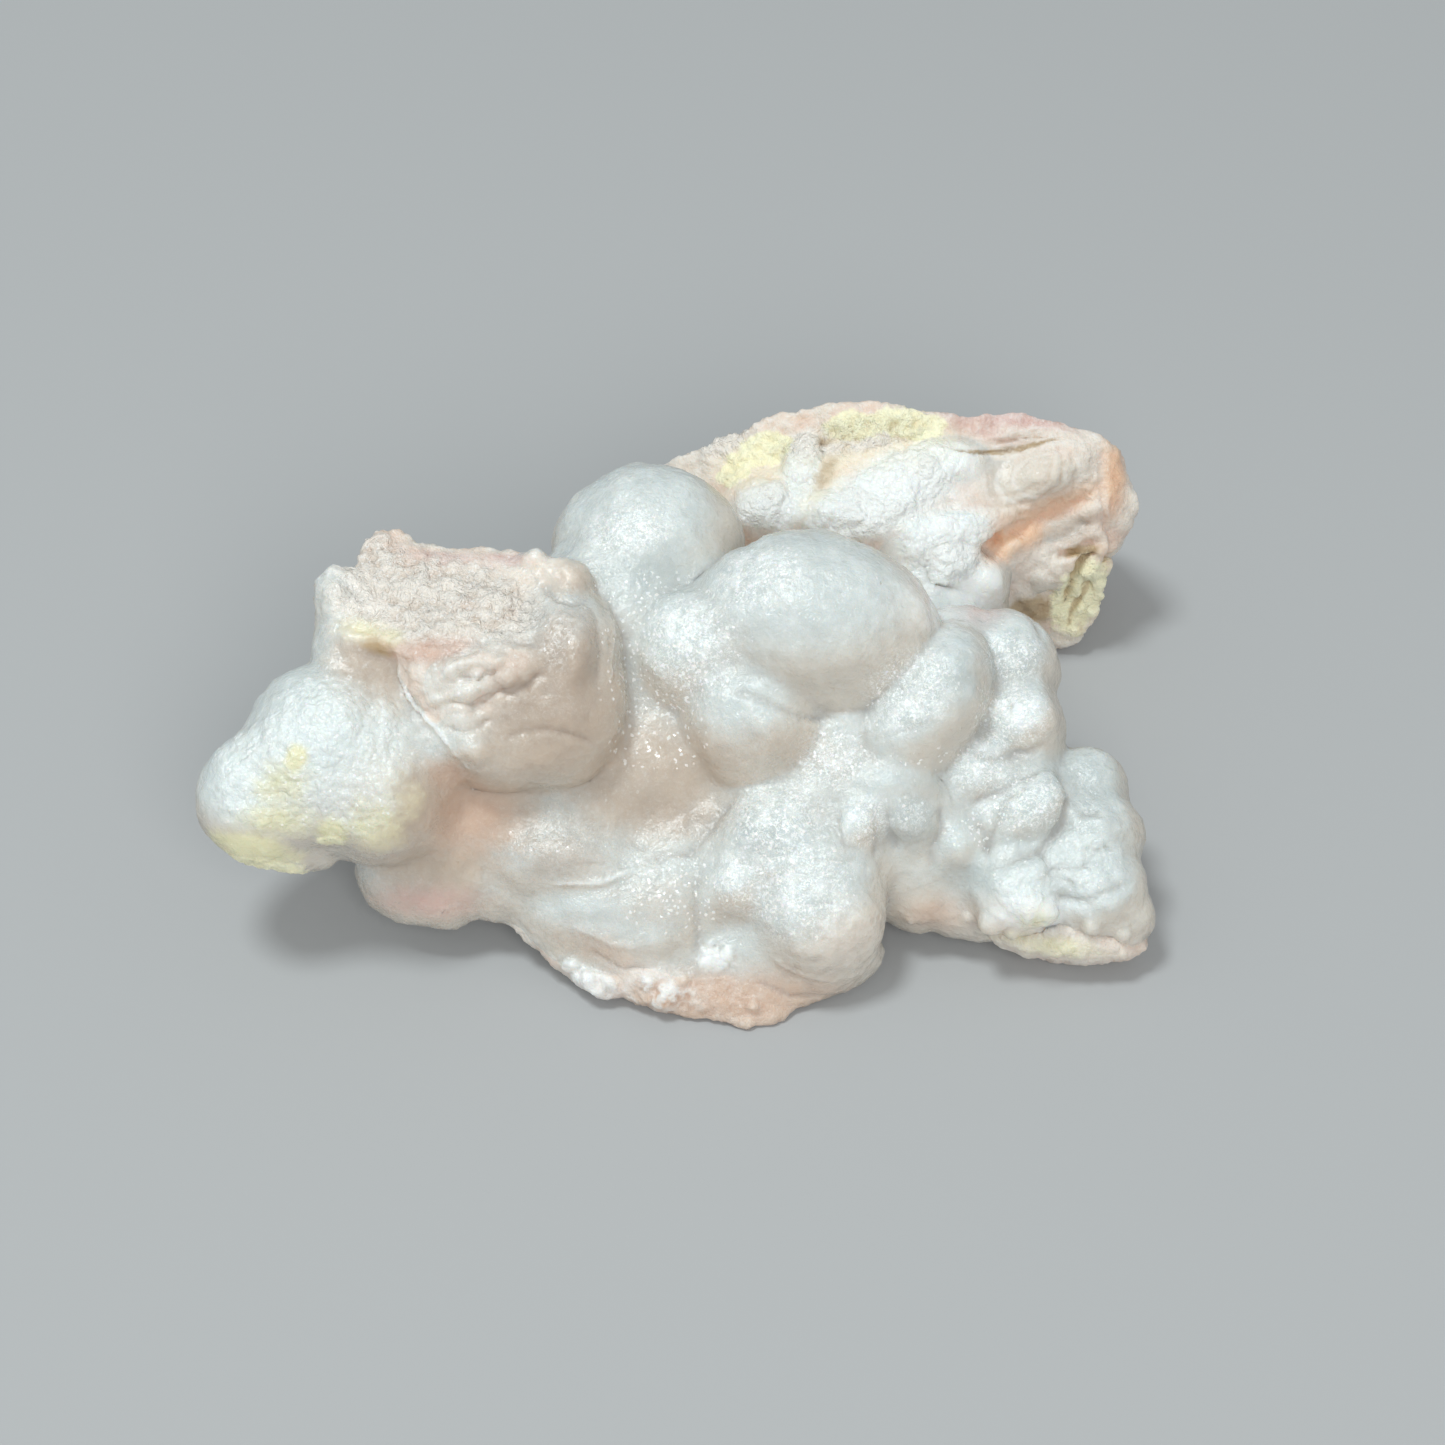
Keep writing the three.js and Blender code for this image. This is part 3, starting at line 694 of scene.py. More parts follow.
def lined(points, normals, tree):
    """The points with each fold, crack and edge, and how near each point is to a groove and to an edge, for
    the painted crease shade and the painted edge highlight.
    """
    height, groove, edge_highlight = np.zeros((3, len(points)))
    for rise, width, places in LINES:
        marks = np.array([touched(tree, *place) for place in along(places)])
        low, high = marks.min(0) - LINE_SPREAD * width, marks.max(0) + LINE_SPREAD * width
        close = np.flatnonzero(((points > low) & (points < high)).all(1))
        gap = np.linalg.norm(points[close, None] - marks[None], axis=2)
        part = gap.argmin(1) / (len(marks) - 1)
        fade = np.clip(LINE_TAPER * np.minimum(part, 1 - part) + LINE_END, 0, 1)
        profile = fade * np.exp(-((gap.min(1) / width) ** 2))
        height[close] += rise * profile
        near, sharpness = (groove, 1) if rise < 0 else (edge_highlight, SHARP_LINE / width)
        near[close] = np.maximum(near[close], profile * min(1, abs(rise) / FULL_LINE) * sharpness)
    return points + height[:, None] * normals, groove, edge_highlight


# Where the finishes lie: right, up, half width, half height and lean of each patch, and its strength if not 1
PATCHES = {
    "yellow": [
        (-23, -7, 2.6, 0.5, -8, 0.8),
        (-19.6, -5.9, 0.8, 0.4, 0, 0.8),
        (2.2, 13.7, 1.5, 0.9, 10),
        (0.6, 12.6, 1.2, 0.8, 40),
        (6.6, 14.8, 1.6, 0.8, 0),
        (9.5, 14.9, 2, 0.8, -8),
        (17.9, 6.4, 1.5, 2.4, -15),
    ],
    "lemon": [
        (16, -11, 3.4, 0.6, -9, 0.62),
        (-21.3, -1.8, 0.5, 0.7, -20),
        (-22.1, -3.3, 2, 1.4, 36, 0.62),
        (-22.3, -4.9, 2, 1.1, 0, 0.7),
        (-23.6, -6.4, 2.2, 0.8, -10, 1.1),
        (-24.6, -6.2, 1.2, 0.7, -35),
        (-19.5, -5.5, 0.8, 0.9, 0),
        (-17.4, -5.2, 1.8, 1.6, 0, 0.62),
        (-16, -3.8, 1.6, 1.8, 0, 0.45),
        (15.5, -9.6, 1, 0.8, 0, 0.6),
        (-18, 4.6, 1.6, 0.8, -15, 0.58),
        (-16.6, 4.2, 0.9, 0.6, 0, 0.58),
    ],
    "rugged": [
        (-12.6, 2, 2.6, 1.8, 16, 0.5),
        (18, 6.2, 1.6, 2.6, -15),
        (0.4, 13.2, 2, 1, 20, 0.5),
        (8, 14.8, 3.4, 0.8, 0, 0.4),
        (16, -10.4, 3.4, 0.8, -8, 0.5),
    ],
    "gold": [
        (8.4, 13.6, 4, 1.3, 8),
        (5.2, 13.2, 2, 1.4, 0),
        (5, 12, 1, 2.2, -30),
        (1.6, 12.6, 2.4, 1.6, 10),
        (18, 6.3, 1.6, 2.4, -15),
    ],
    # Rusty stains and cracks, and painted shade under the cap's lip and beside the block's tip
    "brown_stain_and_shade": [
        (5.2, 12.5, 0.6, 1.7, -30, 0.6),
        (13.2, 13.5, 1.8, 0.13, 0, 0.9),
        (15.6, 13.9, 1.5, 0.13, 15, 0.9),
        (0.2, 12.3, 0.3, 0.6, -20, 0.8),
        (5, 14, 0.6, 0.4, 0, 0.6),
        (15.4, 5.6, 1.4, 0.8, 0, 1.1),
        (17.6, 7.2, 0.4, 1.4, -25, 0.9),
        (18, 5.2, 0.3, 1.2, -10, 0.8),
        (18, 8.6, 1.1, 0.3, 12),
        (-17.2, 3.8, 1, 0.45, -12, 0.75),
    ],
    "cream": [
        (-14.4, 6, 5, 2.1, -6),
        (-12.4, 7, 3, 1.2, -6),
        (-13, 2, 3.6, 2.4, 16, 0.7),
        (-9, 7.6, 1.6, 1.2, 0, 0.8),
        (-17.5, 7.5, 1.2, 1.6, 0),
        (-15, 4.6, 2.6, 0.7, -10),
        (0, 13.6, 2.6, 1, 20),
        (5.5, 13.6, 3, 0.9, 12),
        (16.5, 14.2, 3, 0.5, -8),
        (18.5, 12, 1, 2, 0),
        (17.3, 9.8, 2, 0.8, 16, 0.8),
        (16.3, 7.9, 1.3, 1.1, 0, 0.8),
        (16.6, -11, 4.4, 0.9, -9),
        (6.6, -10.9, 2.8, 2.1, 0, 0.65),
    ],
    "salmon": [
        (-12.9, 5.6, 1.2, 0.5, 0, 0.5),
        (0.2, -13.9, 5.4, 1.5, 0),
        (-5, -12, 3.5, 1.2, -30, 0.5),
        (10.7, -9.5, 2, 1.1, 0, 0.65),
        (-12.9, -4.6, 2.6, 1.9, -15, 0.9),
        (-13.6, -2.8, 1.4, 1, -30, 0.8),
    ],
    "pink": [
        (-10.6, 8.1, 1.7, 0.35, -4, 0.9),
        (-13.4, 8.1, 2.2, 0.4, -10, 0.9),
        (14, 15.1, 3, 0.9, -4, 1.4),
        (-14.8, -8.9, 3, 0.9, 0, 0.6),
        (12.9, 5.4, 1.6, 1.2, 0, 0.5),
    ],
    "orange": [
        (13.6, 8.9, 1.2, 0.9, 20, 1.2),
        (16.4, 10.9, 3.2, 0.7, 20, 0.85),
        (14.9, 9.4, 1.7, 0.8, 24, 0.95),
        (19.6, 12.2, 0.7, 2, 4, 0.85),
    ],
    "chalk": [
        (-12.9, 1.9, 3, 1.8, 16, 0.4),
        (-6.4, -13.2, 1.6, 0.7, -24),
        (-3.5, -12.9, 2, 0.9, -12, 0.6),
        (17.5, -7.5, 3, 2.6, 0, 0.35),
        (9, 11.5, 4.5, 2, 25),
        (11, 8.8, 3, 2.4, 0),
        (12.3, 7, 2.2, 2, 0, 0.9),
        (6, 10.4, 3, 1.6, 15, 0.8),
        (10.4, 6, 2.4, 1.6, 0, 0.8),
        (16.2, 7.8, 1.2, 1, 0, 0.4),
        (12.2, 12.8, 1.4, 1, 10),
        (4, 12.5, 1.2, 1.9, -14),
        (2.6, 10.6, 2, 1.4, 0),
        (15.6, -9.4, 2, 1, 0),
    ],
    # Glints: cells that are tilted to catch the lamp and are also painted white
    "sparkle": [
        (-1.5, 4.2, 2.4, 3, 0, 0.7),
        (12.6, 0.9, 1.4, 2, 0, 0.35),
        (13.2, -5.2, 2.2, 1.4, 0, 0.6),
        (9.8, -1.8, 1.6, 1, 0, 0.6),
        (-4.6, 2.6, 3.2, 3, 0, 0.7),
        (-3.4, -0.4, 2.6, 1.8, 0),
        (-2.4, -8.6, 2.2, 1.6, -15),
        (-4, 6.6, 3, 0.9, 0, 0.8),
        (8.2, 1.2, 1.4, 1.4, 0, 0.5),
        (14.4, 0.6, 1.2, 1.2, 0, 0.7),
        (5.6, -2, 1.6, 1.2, 0, 0.7),
        (2.6, -5.2, 2, 1.4, 0, 0.6),
    ],
    # Painted highlights: where the lamp's highlight falls on the domes and lobes
    "painted_highlight": [
        (-4.9, 9.7, 2.2, 1.2, 0),
        (1.5, 7.3, 2.4, 1.6, 0),
        (-1.6, 3.8, 2.4, 2.6, 0),
        (9.3, 1.6, 2.2, 1.8, 40),
        (14.4, 0.2, 2, 2, 0),
        (14.2, 3.2, 2, 1.2, 0),
        (13, -2.2, 1.6, 1.4, 0),
        (15, -3.9, 2.2, 1.4, 0),
        (-8.5, -6, 2.8, 1.2, 0, 0.45),
        (3.5, -8.2, 2.8, 2.8, 0),
        (0.9, -7.9, 1.4, 1.4, 0),
        (2.8, -4.7, 2.6, 1.8, 0),
        (7.2, -5, 1.2, 1.2, 0),
        (9.4, -4.6, 1.3, 1.2, 0, 0.6),
        (5.4, -1.8, 1.6, 1.4, 0),
        (-8.3, 4, 1.3, 1.9, 0, 0.45),
    ],
    "sugar": [
        (-22.4, -2.8, 2.8, 2.4, 0),
        (-19.5, -1.2, 3.4, 3.2, 0),
        (-18.4, -4, 1.8, 1.6, 0),
        (-12.9, 2.2, 3, 1.6, 18, 0.42),
        (4, 12.6, 0.9, 1.6, -8),
        (8.6, 11.7, 3.8, 1.8, 28),
        (11.2, 9, 2.6, 2, 10),
        (6.6, 10.3, 2.4, 1.2, 15),
        (2.4, 10.8, 1.8, 1.4, 0, 0.8),
        (17.6, -7.2, 3.2, 3.2, 0, 0.55),
        (15, -8.2, 1.8, 1.6, 0, 0.6),
    ],
    "scaly": [
        (-15, 6.3, 4.2, 1.9, -6),
        (-17.5, 7.5, 1.6, 1.8, 0),
        (-11, 5.6, 1.8, 1.6, 0),
        (0.2, 14, 1.8, 0.6, 20, 0.8),
        (6.4, 14.3, 3.8, 0.9, 8),
    ],
    "grown": [  # grown skin, where the solid under it doesn't count as broken
        (-2.6, -4.8, 3.4, 2, 0),
        (-9, -5.8, 3.4, 1.8, 0),
        (-5.4, -4.2, 2.4, 1.6, 0),
        (13.6, 4.4, 3.4, 1.6, 0),
    ],
    "crumbs": [
        (-3.2, -13.5, 1.7, 0.8, -10),
        (-6.7, -12.8, 1.6, 0.5, -28),
        (-0.3, -11.7, 0.9, 0.7, 0),
        (15.2, -9.5, 1.6, 0.7, 0, 0.7),
    ],
    "cracked": [
        (14.2, 13.8, 3.2, 0.9, 8),
        (17.9, 6.6, 1.8, 3, -10),
    ],
    # Mostly painted shade: darkens and warms the shaded recess beside the cap's lip, the clear ball and the
    # lobes under the belly; partly the cap pocket's own warm tint
    "amber_and_shade": [
        (-8.9, 1.6, 3.4, 2.4, 0),
        (-7.6, 3.6, 2, 2.8, 0),
        (-1.6, -4.9, 1.8, 0.9, 0, 0.8),
        (-8.4, -6.2, 2.8, 1.4, 0, 0.75),
        (-3.4, -4.6, 1.6, 0.9, 0, 0.6),
        (-12.6, 2.2, 2.8, 2, 16, 0.4),
        (17.3, 9.7, 1.8, 0.7, 16, 0.8),
        (-16.6, 3, 1, 1.8, 0, 0.6),
        (-14.4, 3.6, 1.9, 0.7, 8, 1.1),
        (-17.6, 1.4, 1.5, 1.6, 0, 0.55),
        (-17.2, 3.3, 1.4, 0.6, 0, 0.8),
    ],
    "coral": [
        (-14.4, 3.65, 1.8, 0.5, 8, 1.15),
        (-12.9, 5.9, 1, 0.5, 0, 0.5),
    ],
    # Painted shade: lobes of the wing, the slope and the domes that lie in shade
    "cool_shade": [
        (18.1, -2.9, 2, 1.6, 0, 1.2),
        (17.6, -6.6, 3, 2.6, 0),
        (14.2, -3.4, 2, 1.6, 0, 0.6),
        (13.9, 3.1, 2, 1.2, 0, 0.9),
        (1.9, -5.4, 1.5, 1.1, 0, 0.9),
        (9.6, 1.4, 2, 1.8, 40, 0.5),
        (9.3, -5, 1.6, 1.5, 0, 1),
        (13.6, -1.2, 1.2, 0.7, 0, 0.6),
        (-3.6, 7.3, 2.6, 1.6, 0, 0.8),
        (12, 2.4, 0.9, 1.6, 0, 0.8),
        (10.5, -2.9, 1.4, 0.8, 0, 0.7),
        (12.6, -7.6, 2, 1, 0, 0.8),
    ],
    "swirl": [
        (15.4, 12.1, 3, 1.5, 12),
    ],
    "clear": [
        (-8.9, 0.4, 3.9, 3.8, 0),
        (-7.8, 7.3, 1.5, 1.1, 0, 0.85),
        (-3.8, -2.7, 4.4, 3.1, 0),
        (-17.6, 2.9, 2, 2.6, 0),
        (-16.4, -4, 2.4, 2.6, 0),
        (-14.4, -7.4, 3.6, 2.6, 0, 0.8),
        (-12, -3.6, 3, 2.2, 0),
        (3.4, -1.2, 5, 1.8, -10, 0.45),
        (-8, 3, 2.4, 2.4, 0, 0.7),
        (-7.6, -7, 3.4, 1.8, -5, 0.5),
        (-3, -9, 3.2, 2, -10, 0.5),
        (14.8, 11.9, 3.2, 1.6, 14),
        (-11.4, -5, 1.8, 1.3, 0, 0.8),
        (-7, -11.4, 3, 1, -35, 0.5),
    ],
}


# Node trees


class Wire:
    """A socket of a node tree, with the operators that its maths uses."""

    def __init__(self, works, socket):
        self.works = works
        self.socket = socket

    def maths(self, operation, *values):
        return self.works.node("ShaderNodeMath", {"operation": operation}, dict(enumerate(values)))

    def __add__(self, other):
        return self.maths("ADD", self, other)

    def __radd__(self, other):
        return self.maths("ADD", other, self)

    def __sub__(self, other):
        return self.maths("SUBTRACT", self, other)

    def __rsub__(self, other):
        return self.maths("SUBTRACT", other, self)

    def __mul__(self, other):
        return self.maths("MULTIPLY", self, other)

    def __rmul__(self, other):
        return self.maths("MULTIPLY", other, self)

    def __truediv__(self, other):
        return self.maths("DIVIDE", self, other)

    def __rtruediv__(self, other):
        return self.maths("DIVIDE", other, self)

    def __abs__(self):
        return self.maths("ABSOLUTE", self)

    def sine(self):
        return self.maths("SINE", self)

    def least(self, other):
        return self.maths("MINIMUM", self, other)

    def most(self, other):
        return self.maths("MAXIMUM", self, other)

    def rise(self, low, high):
        """0 below low, 1 above high and smooth between them."""
        limits = {"Value": self, "From Min": low, "From Max": high}
        return self.works.node("ShaderNodeMapRange", {"interpolation_type": "SMOOTHSTEP"}, limits)

    def vector(self, operation, *values, output=0):
        values = dict(enumerate((self, *values)))
        return self.works.node("ShaderNodeVectorMath", {"operation": operation}, values, output)


class Works:
    """A node tree, and the method that adds any node to it."""

    def __init__(self, tree):
        self.tree = tree
        tree.nodes.clear()

    def node(self, kind, settings=None, values=None, output=0):
        made = self.tree.nodes.new(kind)
        for name, setting in (settings or {}).items():
            setattr(made, name, setting)
        for key, value in (values or {}).items():
            self.join(value, made.inputs[key])
        return Wire(self, made.outputs[output]) if len(made.outputs) else None

    def join(self, value, socket):
        if isinstance(value, Wire):
            self.tree.links.new(value.socket, socket)
        else:
            socket.default_value = value

    def scaled(self, vector, amount):
        """The vector times an amount."""
        return self.node("ShaderNodeVectorMath", {"operation": "SCALE"}, {"Vector": vector, "Scale": amount})

    def mix(self, factor, first, second):
        """Two colours mixed by factor."""
        settings = {"data_type": "RGBA", "clamp_factor": True}
        return self.node("ShaderNodeMix", settings, {0: factor, 6: first, 7: second}, output=2)


class Finish(Works):
    """A material's node tree."""

    def __init__(self, name):
        self.material = bpy.data.materials.new(name)
        self.material.use_nodes = True
        super().__init__(self.material.node_tree)

    def shader(self, values):
        return self.node("ShaderNodeBsdfPrincipled", {}, values)

    def made(self, shader):
        """The finished material."""
        self.node("ShaderNodeOutputMaterial", {}, {"Surface": shader})
        return self.material


def paint(red, green, blue):
    """A colour, as the share of each light that comes back from it."""
    return (red, green, blue, 1.0)


# Painted light: the cool white of the frosted skin where it faces the sky
FROST_AND_SKYLIGHT_WHITE = paint(0.62, 0.68, 0.685)
BODY_BEIGE = paint(0.635, 0.59, 0.525)
CLEAR_BEIGE = paint(0.53, 0.425, 0.335)
SHELL_PINK = paint(0.78, 0.61, 0.51)
ROSE = paint(0.66, 0.45, 0.41)
SALMON = paint(0.63, 0.455, 0.35)
ORANGE = paint(0.85, 0.54, 0.35)
CREAM = paint(0.79, 0.72, 0.645)
YELLOW = paint(1.0, 0.98, 0.70)
GOLD = paint(0.95, 0.86, 0.66)
OCHRE = paint(0.99, 0.92, 0.62)
LEMON = paint(0.82, 0.79, 0.53)
SWIRL_BEIGE = paint(0.66, 0.62, 0.55)
# Dark warm amber, mostly painted shade
AMBER_AND_SHADE = paint(0.40, 0.31, 0.245)
CORAL = paint(0.70, 0.45, 0.36)
# Painted shade
COOL_SHADE_GREY = paint(0.46, 0.51, 0.51)
# Rusty brown of the stains and cracks, partly painted shade
RUST_AND_SHADE = paint(0.46, 0.33, 0.18)
CHALK = paint(0.94, 0.96, 0.955)
SCALE_WHITE = paint(0.93, 0.87, 0.80)
SUGAR_WHITE = paint(0.90, 0.97, 0.965)
# Painted shade in the pits of the crusts and scales and in the swirl's grooves
PIT_SHADE_TAN = paint(0.68, 0.57, 0.47)
# Painted shade in the creases and hollows
CREASE_SHADE_GREY = paint(0.50, 0.49, 0.47)
# White of the painted glints and highlights, and of the swirl's rings
GLINT_WHITE = paint(1.0, 1.0, 1.0)
STUDIO_GREY = paint(0.42, 0.43, 0.44)

# The coloured patches in the order that they are laid on, with the most that each covers; the amber patches
# are partly and the cool shade patches wholly painted shade
COLOURED = (
    ("chalk", CHALK, 0.8),
    ("salmon", SALMON, 0.9),
    ("pink", ROSE, 0.95),
    ("cream", CREAM, 0.9),
    ("gold", GOLD, 0.6),
    ("orange", ORANGE, 0.9),
    ("amber_and_shade", AMBER_AND_SHADE, 0.5),
    ("coral", CORAL, 0.5),
    ("cool_shade", COOL_SHADE_GREY, 0.6),
)

# Grains of the finish
RAGGED_GRAIN = 0.35
GRIT_GRAIN = 0.25
HIGHLIGHT_VEIN_GRAIN = 0.42
GLINT_FLECK_GRAIN = 0.2
GLINT_SPECK_GRAIN = 0.13
SUGAR_GRAIN = 0.36
PLATE_GRAIN = 0.6
FROST_GRAIN = 0.5
RING_TURNS = 12.0  # how closely the swirl's rings follow each other
BUMP_DEPTH = 0.13
MILKY_DEPTH = 1.6  # how far light spreads under the skin
OPAL_REFRACTION = 1.75


class OpalFinish(Finish):
    """Frosted white opal that turns warm and clear in its hollows, with broken pink opal and crusts. Its cool
    white is painted sky light where it faces up, its warmth in the hollows is painted shade, and it carries
    painted highlights, glints and crease shade.
    """

    def __init__(self):
        super().__init__("opal")
        self.place = self.node("ShaderNodeTexCoord", output="Object")
        self.blur = self.field("blotch") - 0.5
        self.ragged = self.noise(RAGGED_GRAIN, 2, 0.6) - 0.5
        self.grit = self.noise(GRIT_GRAIN, 3, 0.7)
        self.proud = self.field("proud")
        self.groove = self.field("groove")
        self.hollow = self.field("hollow")
        self.mottle = self.field("mottle")
        self.bare = self.field("bare").rise(0.3, 0.7)
        # Painted sky light over the frost: how squarely the skin faces the sky, with painted shade taking it
        # out of the hollows
        self.frost_and_painted_skylight = (self.field("frost_and_painted_skylight") + 0.2 * self.blur).rise(0.0, 1.0) * (1 - 0.6 * self.hollow)
        self.clear = self.edged("clear", 0.35, 0.2)
        self.sugar = (self.field("sugar") + 0.4 * self.blur).rise(0.25, 0.6)
        self.scaly = (self.field("scaly") + 0.3 * self.blur).rise(0.25, 0.6)
        self.yellow = self.edged("yellow", 0.1, 0.7)
        self.painted_highlight = self.field("painted_highlight").rise(0.2, 0.8)

    def field(self, name):
        """What the skin keeps under that name."""
        return self.node("ShaderNodeAttribute", {"attribute_name": name}, output="Fac")

    def noise(self, grain, detail, roughness, distortion=0.0):
        """Noise from 0 to 1 whose grain is that many millimetres across."""
        values = {
            "Vector": self.place,
            "Scale": 1 / (grain * MM),
            "Detail": detail,
            "Roughness": roughness,
            "Distortion": distortion,
        }
        return self.node("ShaderNodeTexNoise", {}, values)

    def cells(self, grain, output="Distance"):
        """Cells that many millimetres across: the distance to the nearest middle, or a colour for each."""
        values = {"Vector": self.place, "Scale": 1 / (grain * MM)}
        return self.node("ShaderNodeTexVoronoi", {}, values, output)

    def edged(self, name, softness=0.25, fray=0.5):
        """How much the finish of that name shows, with a blotchy and ragged edge."""
        patch = self.field(name) + fray * self.blur + 0.25 * self.ragged
        return patch.rise(0.5 - softness, 0.5 + softness)

    def body(self):
        """The tone of the skin and of the broken faces, with the coloured patches. The skin is painted cool
        white where it faces the sky and warm beige where it faces away, and some patches are painted shade.
        """
        # Painted light and shade: cool white where the skin faces the sky, warm beige where it faces away
        skin = self.mix(self.frost_and_painted_skylight, BODY_BEIGE, FROST_AND_SKYLIGHT_WHITE)
        skin = self.mix(0.8 * self.clear, skin, CLEAR_BEIGE)
        broken = self.mix(self.field("bands").rise(0.38, 0.62), SHELL_PINK, CREAM)
        tone = self.mix(self.bare, skin, broken)
        for name, colour, share in COLOURED:
            tone = self.mix(share * self.edged(name, 0.4, 0.4), tone, colour)
        return tone

    def with_painted_highlights(self, tone):
        """The tone with painted highlights: white mottling and veins where the skin faces the sky and in the
        highlight patches, and painted glint flecks.
        """
        # Painted highlights: white mottles, veins and glint flecks in the base colour
        mottled_highlight = (0.2 + 0.25 * self.painted_highlight) * self.frost_and_painted_skylight * self.mottle.rise(0.45, 0.62)
        tone = self.mix(mottled_highlight * (1 - 0.7 * self.clear), tone, CHALK)
        highlight_veins = abs(self.noise(HIGHLIGHT_VEIN_GRAIN, 2, 0.6, 1.5) - 0.5).rise(0.05, 0.0)
        tone = self.mix((0.1 * self.frost_and_painted_skylight + 0.55 * self.painted_highlight) * highlight_veins, tone, CHALK)
        glint_fleck_share = 0.12 * self.frost_and_painted_skylight + 0.4 * self.painted_highlight + 0.2 * self.sugar + 0.6 * self.scaly
        return self.mix(glint_fleck_share * self.noise(GLINT_FLECK_GRAIN, 2, 0.7).rise(0.56, 0.64), tone, GLINT_WHITE)

    def crusted(self, tone):
        """The tone with the sugary growth, crumbs, scales and yellow crusts, with painted shade in their pits
        and painted light on the scales' raised parts.
        """
        crumbs = self.edged("crumbs", 0.3, 0.6) * self.proud.rise(-0.1, 0.5)
        crust = self.mix(self.mottle.rise(0.35, 0.6), OCHRE, YELLOW)
        # Painted shade: the low places of the scales and the yellow crust are darkened
        pit_shade = (self.proud + 0.8 * (self.grit - 0.5)).rise(0.15, -0.35)
        for share, colour in (
            (0.5 * self.sugar, SUGAR_WHITE),
            (0.7 * crumbs, CHALK),
            # The scales whiter on their raised parts: their own white, and painted light on the crests
            (0.75 * self.scaly * self.proud.rise(-0.2, 0.4), SCALE_WHITE),
            (0.9 * self.edged("lemon", 0.3, 0.5), LEMON),
            # Brown stains, partly painted shade
            (0.85 * self.edged("brown_stain_and_shade", 0.25, 0.7), RUST_AND_SHADE),
            (0.9 * self.yellow, crust),
            (0.5 * pit_shade * (0.3 * self.scaly + 0.2 * self.yellow), PIT_SHADE_TAN),
        ):
            tone = self.mix(share, tone, colour)
        return tone

    def creased(self, tone):
        """The tone with painted shade in the creases and hollows, painted highlights on the sharp edges, the
        block's swirl with painted shade in its grooves, and the cracks painted rusty brown, partly as their
        shade.
        """
        # Painted shade: darker in the grooves and in the hollows of the broad shape
        crease_shade = 0.35 * self.groove + 0.45 * self.hollow.rise(0.45, 0.95)
        ring = self.field("rings") + 0.4 * self.blur
        rings = (ring * RING_TURNS).sine().rise(0.0, 1.0) * ring.rise(0.4, 1.4)
        swirl = self.edged("swirl", 0.35, 0.2)
        cracked = (self.yellow + self.edged("cracked")).rise(0, 1)
        for share, colour in (
            (crease_shade * (1 - self.bare) * (1 - self.clear), CREASE_SHADE_GREY),
            # Painted highlight: sharp raised edges painted white
            (0.65 * self.field("edge_highlight").rise(0.25, 0.8), CHALK),
            (0.75 * swirl, SWIRL_BEIGE),
            (0.25 * rings * swirl, GLINT_WHITE),
            # The cracks painted rusty brown in their grooves, partly painted shade
            (0.65 * cracked * self.groove.rise(0.2, 0.8), RUST_AND_SHADE),
            # Painted shade in the swirl's grooves
            (0.5 * swirl * self.groove.rise(0.15, 0.6), PIT_SHADE_TAN),
        ):
            tone = self.mix(share, tone, colour)
        return tone

    def bumps(self):
        """The skin turned by its frost, sugar, grit and scales."""
        frost = 0.6 * self.noise(FROST_GRAIN, 2, 0.6, 0.6) + 0.6 * self.grit
        plates = abs(self.noise(PLATE_GRAIN, 2, 0.6, 1.0) - 0.5).rise(0.14, 0.0)
        height = (
            (1 - 0.55 * self.clear) * frost
            + self.sugar * (0.7 * (1 - 1.3 * self.cells(SUGAR_GRAIN)) + 0.4 * self.grit)
            + (0.8 * self.scaly + 0.5 * self.yellow + 0.4 * self.bare) * self.grit
            + 0.4 * self.scaly * plates
        )
        values = {"Height": height, "Strength": 1.0, "Distance": BUMP_DEPTH * MM}
        return self.node("ShaderNodeBump", {}, values)

    def whole(self):
        """The whole material: a milky shader, and a dry one for crusts, scales and broken faces."""
        glint = self.cells(GLINT_SPECK_GRAIN, "Color")
        sparkle = self.field("sparkle").rise(0.15, 0.7)
        glint_chance = 0.02 * self.frost_and_painted_skylight + 0.05 * self.painted_highlight + 0.09 * sparkle + 0.04 * self.sugar
        glint_speck = (glint.vector("DOT_PRODUCT", (0, 0, 1), output="Value") + glint_chance).rise(1.0, 1.03)
        tone = self.creased(self.crusted(self.with_painted_highlights(self.body())))
        tilt = self.scaled(glint.vector("SUBTRACT", (0.5, 0.5, 0.5)), 0.6 * glint_speck)
        smooth = 0.25 - 0.06 * self.scaly - 0.15 * glint_speck
        rough = smooth + 0.4 * self.yellow + 0.2 * self.bare + 0.1 * self.ragged + 0.1 * self.clear
        skin = {
            # Painted glints: the glint cells painted white, besides their tilt and smoothness
            "Base Color": self.mix(0.55 * glint_speck, tone, GLINT_WHITE),
            "Roughness": rough - 0.06 * self.sugar,
            "Normal": self.bumps().vector("ADD", tilt).vector("NORMALIZE"),
            "IOR": OPAL_REFRACTION,
        }
        milky = {
            "Subsurface Weight": 0.75,
            "Subsurface Radius": (1.0, 0.8, 0.65),
            "Subsurface Scale": MILKY_DEPTH * MM,
        }
        dry = 0.8 * self.scaly + 0.75 * self.yellow + 0.4 * self.sugar * (1 - self.clear) + 0.35 * self.bare
        both = {0: dry.least(0.8), 1: self.shader(skin | milky), 2: self.shader(skin)}
        return self.made(self.node("ShaderNodeMixShader", {}, both))


def floor_finish():
    finish = Finish("floor")
    return finish.made(finish.shader({"Base Color": STUDIO_GREY, "Roughness": 0.9}))


# Relief


